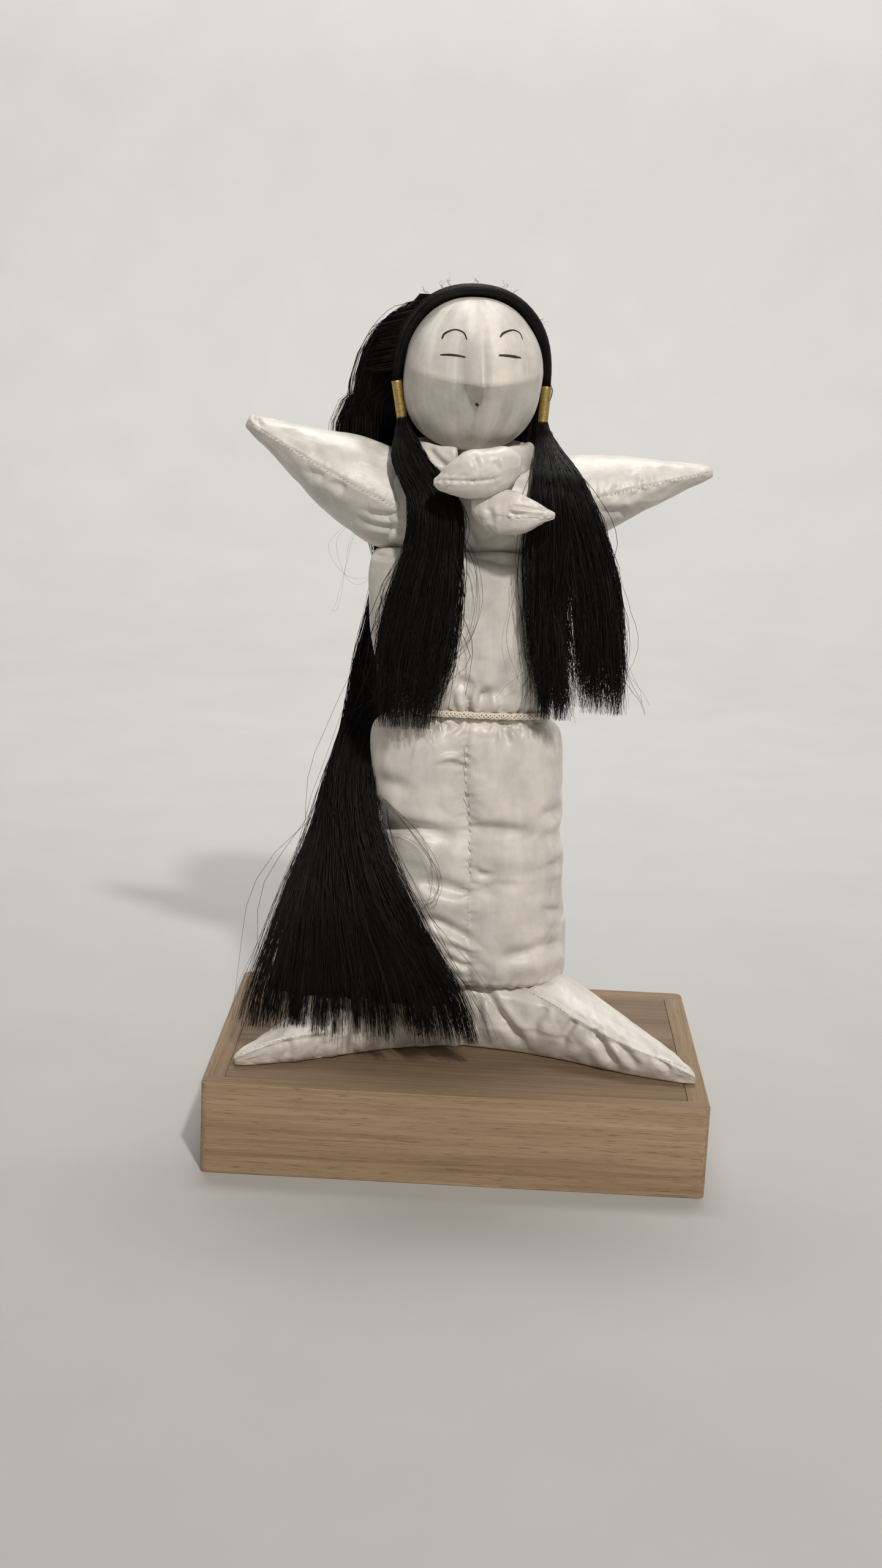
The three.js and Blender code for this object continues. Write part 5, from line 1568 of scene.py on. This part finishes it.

# %% [markdown]
# ## The rear hair
#
# The rear hair starts under the band, falls over the back of the head, is swept round the
# doll's right side in front of the hip, and spreads over the right leg. The dark filling and the
# cap on the head ride on it; its strands and the hanging part ride on no body.

# %% Lay the rear hair
PARTING = 393.9
CROWN_HEIGHT = 67.5
CROWN_SHARES = (0, 0.207, 0.459, 0.711, 0.933, 1.022)
CROWN_SIZES = (
    (-0.36, -0.31, -0.35, -0.35, -0.29, -0.33), (0.744, 0.718, 0.667, 0.538, 0.359, 0.256),
    (1.38, 1.4, 1.26, 1.06, 0.8, 0.54), (0.487, 0.538, 0.538, 0.4615, 0.282, 0.128))


def crown_section(z):
    """Middle and half sizes of the hair behind the head, by height above the stand."""
    x, y, wide, deep = [np.interp((z - PARTING) / CROWN_HEIGHT, CROWN_SHARES, sizes) for sizes in CROWN_SIZES]
    return x * HEAD_WIDE + HEAD_X, y * HEAD_DEEP + HEAD_Y, wide * HEAD_WIDE, deep * HEAD_DEEP


def outside_head(places, gap=1.4):
    """Moves places that lie inside the head out to just above its silk."""
    local = (places - ROOM_ARRAY[:3, 3]) @ ROOM_ARRAY[:3, :3] / MM
    half_height = np.where(local[..., 2] > 0, HEAD_ABOVE, HEAD_BELOW)
    sizes = np.stack([0 * half_height + HEAD_WIDE, 0 * half_height + HEAD_DEEP, half_height], -1) + gap
    depth = (np.abs(local / sizes) ** HEAD_POWER).sum(-1, keepdims=True) ** (1 / HEAD_POWER)
    return head_to_room(local / np.clip(depth, 0.05, 1))


random = np.random.default_rng(31)
count, steps = 1500, 22
spread = np.clip(random.uniform(-0.02, 1.02, count), 0, 1)
arc = math.radians(6) + math.radians(168) * spread
start = band_middle(arc) + random.uniform(0.5, 9.5, count)[:, None] * FORWARD
start += random.uniform(-3.0, 1.5, count)[:, None] * np.stack([np.cos(arc), 0 * arc, np.sin(arc)], 1)
start = head_to_stand(start)[:, None]
theta = np.radians(-22 + 226 * (1 - (1 - spread) ** 1.5) + random.normal(0, 5, count))[:, None]
t = np.linspace(0, 1, steps)
end_z = PARTING - random.uniform(8, 46, count)[:, None]
z = start[..., 2] * (1 - t**1.35) + end_z * t**1.35
middle_x, middle_y, wide, deep = crown_section(np.maximum(z, PARTING))
lie = random.uniform(0.78, 1.02, count)[:, None] + (random.uniform(size=count) < 0.12)[:, None] * 0.07
merge = smooth(t / 0.17)
x = start[..., 0] * (1 - merge) + (middle_x + wide * np.cos(theta) * lie) * merge
x += smooth_noise(random, count, steps, 5) * 0.5 * t
y = start[..., 1] * (1 - merge) + (middle_y + deep * np.sin(theta) * lie) * merge
y += smooth_noise(random, count, steps, 5) * 0.4 * t
TURNING = turning_between(PARTING + 2, PARTING - 60)
lay_strands("rear_hair_crown_strands", outside_head(above_stand(np.stack([x, y, z], -1))),
            random.uniform(0.15, 0.26, count), random.beta(0.8, 2.4, count), blend=TURNING)

rings = []
for z in np.linspace(PARTING - 6, PARTING + 68, 22):
    x, y, wide, deep = crown_section(np.clip(z, PARTING, PARTING + 67))
    across, back = oval(wide * 0.8, deep * 0.84, 2.2, 48)
    rings.append(np.stack([x + across, y + back, np.full(48, z)], 1))
crown_mass = sewn_skin("rear_hair_crown_mass", np.array(rings))
set_shade(crown_mass, 0.3)
dress_hair(crown_mass, mass_black, "head", ["rear_hair_crown"])

CAP_GAP = 1.3
cap_wide, cap_deep = HEAD_WIDE + CAP_GAP, HEAD_DEEP + CAP_GAP
rings = []
for rise in np.linspace(-34, 50.6, 32):
    half_height = (HEAD_ABOVE if rise > 0 else HEAD_BELOW) + CAP_GAP
    level = (1 - (abs(rise) / half_height) ** HEAD_POWER) ** (1 / HEAD_POWER)
    begin = math.asin(min((1 + max(-rise, 0) * 0.5) / (cap_deep * level), 0.95))
    angle = np.linspace(begin, math.pi - begin, 44)
    x = cap_wide * level * bent(np.cos(angle), 2.1)
    y = cap_deep * level * bent(np.sin(angle), 2.1)
    x = np.append(x, np.linspace(x[-1], x[0], 18)[1:-1])
    y = np.append(y, np.full(16, y[0]))
    rings.append(np.stack([x, y, np.full(60, rise)], 1))
hair_cap = sewn_skin("rear_hair_cap", head_to_stand(rings))
set_shade(hair_cap, 0.3)
dress_hair(hair_cap, mass_black, "head")

FALL_TOP = PARTING - 0.15
FALL_END = 25
FALL_WIDE, FALL_BACK, FALL_THICK = 60, 37, 8
FALL = (
    (0, -0.6, 0.892, 0.833, 2.25, 0), (0.038, -0.483, 1.027, 0.983, 1.75, 0),
    (0.092, -0.5, 1.216, 0.967, 1.125, 0), (0.168, -0.533, 1.189, 0.75, 1, 0),
    (0.244, -0.533, 1.189, 0.533, 1, 0), (0.347, -0.667, 1.135, 0.467, 1, -4),
    (0.412, -0.833, 1, 0.417, 1, -14), (0.482, -1.033, 0.811, 0.35, 1.062, -40),
    (0.556, -1.183, 0.459, 0.333, 1.125, -62), (0.637, -1.267, 0, 0.383, 1.125, -54),
    (0.718, -1.25, -0.459, 0.5, 1, -42), (0.827, -1.183, -1.027, 0.717, 0.938, -20),
    (0.927, -1.067, -1.378, 0.967, 0.875, -8), (1, -1.017, -1.595, 1.117, 0.875, -4))
fall_stations = [(PARTING + 34, -25, 25, 30, 12, 0), (PARTING + 18, -29, 29, 38, 14, 0)]
for share, x, y, wide, deep, turned in FALL:
    z = FALL_TOP + (FALL_END - FALL_TOP) * share
    fall_stations.append((z, FALL_WIDE * x, FALL_BACK * y, FALL_WIDE * wide, FALL_THICK * deep, turned))
fall_mass = hair_mass("rear_hair_fall_mass", fall_stations, 2.1, 0.88, end_share=0.965, uneven=2.2, phase=0.8)
dress_hair(fall_mass, mass_black, blend=TURNING, replaced=["rear_hair_fall"])

random = np.random.default_rng(37)
for part, count, radius, settings in (
        ("inner", 1150, (0.15, 0.28), dict(
            clumps=90, spread=(0.6, 1.0), ragged=0.006, wander=0.8, loose=0.02, pull=0.6, longest=1.012)),
        ("outer", 1150, (0.15, 0.28), dict(
            clumps=140, spread=(0.88, 1.12), ragged=0.015, wander=1.8, loose=0.06, longest=1.016)),
        ("wisps", 330, (0.1, 0.16), dict(
            clumps=60, spread=(1.0, 1.2), ragged=0.04, wander=2.6, loose=0.12, longest=1.01))):
    paths = lay_hair(random, fall_stations, count, 27, **settings)
    lay_strands(f"rear_hair_fall_{part}", paths, random.uniform(*radius, count), random.beta(0.7, 2.6, count),
                blend=TURNING)

# %% [markdown]
# ## Side locks
#
# Below each tube the hair opens into a lock that hangs over the chest to the waist. The left
# one parts in two lower down, with a few thin strands beside and between the two parts.

# %% Lay the side locks
LOCK_TOP = 387.1
LOCK_LENGTH = 170
LOCK_Y = FRONT_Y - 7
HANGING = turning_between(LOCK_TOP + 1, LOCK_TOP - 75)
right_x, right_y = TUBES[-1][1, :2] / MM
left_x, left_y = TUBES[1][1, :2] / MM


def lock_stations(side, sections):
    """Sections are share of the length, x, y, half width and half depth. They follow the tube's end."""
    x, y = (right_x, right_y) if side < 0 else (left_x, left_y)
    stations = [(LOCK_TOP + 3, x, y, 2.3, 2.3, 0), (LOCK_TOP, x, y, 2.5, 2.5, 0)]
    return stations + [(LOCK_TOP - LOCK_LENGTH * share, *section, 0) for share, *section in sections]


random = np.random.default_rng(41)
for lock, side, number, count, sections in (
        ("side_lock_right", -1, 1, 1240, (
            (0.047, right_x + 2.5, right_y - 6, 5.5, 4), (0.129, -44, LOCK_Y + 14, 10.5, 6),
            (0.271, -29.5, LOCK_Y, 14, 6), (0.43, -29.5, LOCK_Y - 1, 15.6, 6),
            (0.612, -34, LOCK_Y - 1, 20, 6), (0.8, -38.3, LOCK_Y - 1, 21, 5.4),
            (1, -42.3, LOCK_Y, 16.5, 4.4))),
        ("side_lock_left", 1, 1, 800, (
            (0.059, left_x + 4, left_y - 11, 5.5, 4), (0.182, 49, LOCK_Y + 6, 9, 6),
            (0.4, 62.5, LOCK_Y, 11.5, 6), (0.595, 70.5, LOCK_Y + 1, 12.4, 5.6),
            (0.783, 74.6, LOCK_Y + 3, 12.2, 5), (0.92, 77.2, LOCK_Y + 4, 10.2, 4.2))),
        ("side_lock_left", 1, 2, 800, (
            (0.059, left_x + 2, left_y - 12, 5, 4), (0.182, 38, LOCK_Y + 3, 9, 6),
            (0.4, 41.5, LOCK_Y, 10.4, 6), (0.595, 41.3, LOCK_Y, 8.3, 5.6),
            (0.783, 44, LOCK_Y, 8.5, 5), (0.945, 47, LOCK_Y + 1, 8.6, 4.2)))):
    stations = lock_stations(side, sections)
    mass = hair_mass(f"{lock}_mass_{number}", stations, 2.2, 0.68, end_share=0.87, uneven=2.6,
                     phase=number * 2.2 + side)
    dress_hair(mass, mass_black, blend=HANGING, replaced=[lock] if number == 1 else [])
    paths = lay_hair(random, stations, count, 26, clumps=110, spread=(0.45, 1.15), ragged=0.034, wander=2.1,
                     loose=0.07, kink=0.36, longest=1.05)
    lay_strands(f"{lock}_strands_{number}", paths, random.uniform(0.12, 0.24, count),
                random.beta(0.7, 2.0, count), blend=HANGING)

for part, count, sections in (
        ("fringe", 190, (
            (0.059, left_x + 1, left_y - 12, 4, 3), (0.182, 33, LOCK_Y + 3, 6, 5),
            (0.4, 29, LOCK_Y, 7, 5), (0.595, 31, LOCK_Y, 6.6, 4.5),
            (0.783, 35.5, LOCK_Y, 6, 4), (0.93, 40, LOCK_Y + 1, 5, 4))),
        ("parting", 230, (
            (0.059, left_x + 3, left_y - 12, 4, 3), (0.182, 44, LOCK_Y + 4, 6, 4),
            (0.4, 51.5, LOCK_Y, 7, 4), (0.595, 56, LOCK_Y, 8, 3.5),
            (0.783, 60, LOCK_Y + 1, 7.5, 3), (0.92, 63, LOCK_Y + 2, 7, 3)))):
    paths = lay_hair(random, lock_stations(1, sections), count, 26, clumps=36, spread=(0, 1.1), ragged=0.05,
                     wander=1.6, loose=0.1)
    lay_strands(f"side_lock_left_{part}", paths, random.uniform(0.1, 0.17, count),
                random.beta(0.9, 1.6, count), blend=HANGING)

# %% [markdown]
# ## Loose hairs
#
# Some single hairs have strayed from the rest. Long ones curve over the chest, more lie over the
# lower body, and fine loops stand off behind the right arm and over the band.

# %% Lay single hairs
def single_hairs(name, random, routes, body, copies=1, stray=1.0, radius=0.11):
    """routes hold marks, x, y and z in mm above the stand. Copies of a route stray from it."""
    paths = []
    for marks in routes:
        fine = curve_through(marks, 12)
        shares = np.linspace(0, 1, len(fine))
        even = np.stack([np.interp(np.linspace(0, 1, 40), shares, column) for column in fine.T], 1)
        for _ in range(copies):
            paths.append(even + smooth_noise(random, 3, 40, 4).T * stray * np.linspace(0.2, 1, 40)[:, None])
    lay_strands(name, above_stand(paths), radius, random.uniform(0, 0.6, len(paths)), body)


random = np.random.default_rng(51)
single_hairs("chest_hairs", random, [
    [(-13, -40, 326), (-5, -40, 314), (-1, -39, 296), (0, -38.5, 280), (-6, -38, 262), (-20, -38.5, 250),
     (-30, -39, 246)],
    [(-13, -40, 322), (-6, -40, 310), (-3, -39, 292), (-4, -38.5, 270), (-14, -38, 254), (-26, -38, 240)],
], "doll", copies=2, stray=1.6)
single_hairs("body_hairs", random, [
    [(-54, -34, 162), (-40, -38, 150), (-26, -39.5, 134), (-18, -40, 116), (-20, -40, 100), (-34, -40, 96)],
    [(-52, -34, 140), (-42, -38, 124), (-36, -40, 106), (-30, -40, 90), (-18, -41, 74)],
    [(-48, -36, 120), (-34, -40, 104), (-26, -41, 84), (-14, -42, 66)],
], "doll", copies=5, stray=3.0)
single_hairs("arm_hairs", random, [
    [(-70, 26, 346), (-82, 24, 322), (-92, 22, 306), (-88, 22, 292), (-76, 24, 290), (-70, 26, 300)],
    [(-70, 28, 340), (-80, 26, 316), (-84, 26, 296), (-90, 26, 270), (-98, 26, 262)],
], "doll", copies=2, stray=4.0, radius=0.055)
single_hairs("band_tufts", random, [
    [(-38, 3, 460), (-42, 3, 464), (-44, 3, 466)],
    [(-30, 2, 464), (-32, 2, 467), (-31, 2, 469)],
    [(-26, 2, 466), (-28, 2, 469), (-27, 2, 470)],
    [(-10, 2, 467), (-12, 2, 470), (-11, 2, 471)],
    [(0, 2, 465), (5, 2, 468), (6, 2, 470)],
    [(8, 2, 462), (11, 2, 464), (12, 2, 465)],
    [(24, 2, 447), (28, 2, 448), (29, 2, 446)],
    [(26, 2, 440), (30, 2, 441), (31, 2, 438)],
], "head", copies=3, stray=1.6, radius=0.08)

# %% [markdown]
# ## The waist cord
#
# The cord is braided from eight silk strands, four turning each way and passing over and under
# each other. It lies in the groove between the torso and the lower body, and is knotted behind.

# %% Braid the waist cord
CORD_Z = 213.2
CORD_WIDE, CORD_DEEP = 48.15, 32.55


def round_the_waist(share):
    """Middle of the cord and its outward direction. share runs from 0 to 1, from one side of the knot."""
    gap = math.asin(5.6 / CORD_WIDE)
    angle = math.pi / 2 + gap + 2 * (math.pi - gap) * share
    x, y = CORD_WIDE * bent(np.cos(angle), 2.5), CORD_DEEP * bent(np.sin(angle), 2.5)
    rise = CORD_Z + 2.2 * np.clip(-np.sin(angle), 0, 1)
    out = np.stack([x / CORD_WIDE**2, y / CORD_DEEP**2, 0 * x], -1)
    return np.stack([BODY_X + x, BODY_Y + y, rise], -1), unit(out)


def cord_strand(centre, out, radius, sides=6):
    """Rings of a round strand along the points."""
    ahead = unit(np.gradient(centre, axis=0))
    side = unit(np.cross(ahead, out))
    up = np.cross(side, ahead)
    angles = np.arange(sides) * 2 * math.pi / sides
    return np.stack([centre + radius * (side * math.cos(a) + up * math.sin(a)) for a in angles], 1)


middle, out = round_the_waist(np.linspace(0, 1, 560))
walked = walked_along(middle)
braid = []
for index in range(8):
    way = 1 if index % 2 else -1
    phase = way * 2 * math.pi * walked / 10.5 + index * math.pi / 4
    reach = 1.5 + 0.26 * way * np.sin(2 * phase * way + index)
    centre = middle + out * (np.cos(phase) * reach)[:, None]
    centre[:, 2] += np.sin(phase) * reach
    braid.append(sewn_skin(f"cord_strand_{index}", cord_strand(centre, out, 0.6)))
deselect_all()
for strand in braid:
    strand.select_set(True)
bpy.context.view_layer.objects.active = braid[0]
bpy.ops.object.join()
cord = put_down(braid[0], "waist_cord_braid")
clothe(cord, cord_silk, "doll", ["waist_cord"])

t = np.linspace(0, 2 * math.pi, 160)
knot_path = np.stack([
    BODY_X + 2.0 * (np.sin(t) + 1.4 * np.sin(2 * t)),
    BODY_Y + 34.6 + 1.1 * np.sin(3 * t),
    CORD_Z + 1.5 * (np.cos(t) - 1.4 * np.cos(2 * t)),
], 1)
knot_out = np.full((160, 3), (0, 1, 0.2))
knot = sewn_skin("waist_cord_knot_tied", cord_strand(knot_path, knot_out, 1.35, 10))
clothe(knot, cord_silk, "doll", ["waist_cord_knot"])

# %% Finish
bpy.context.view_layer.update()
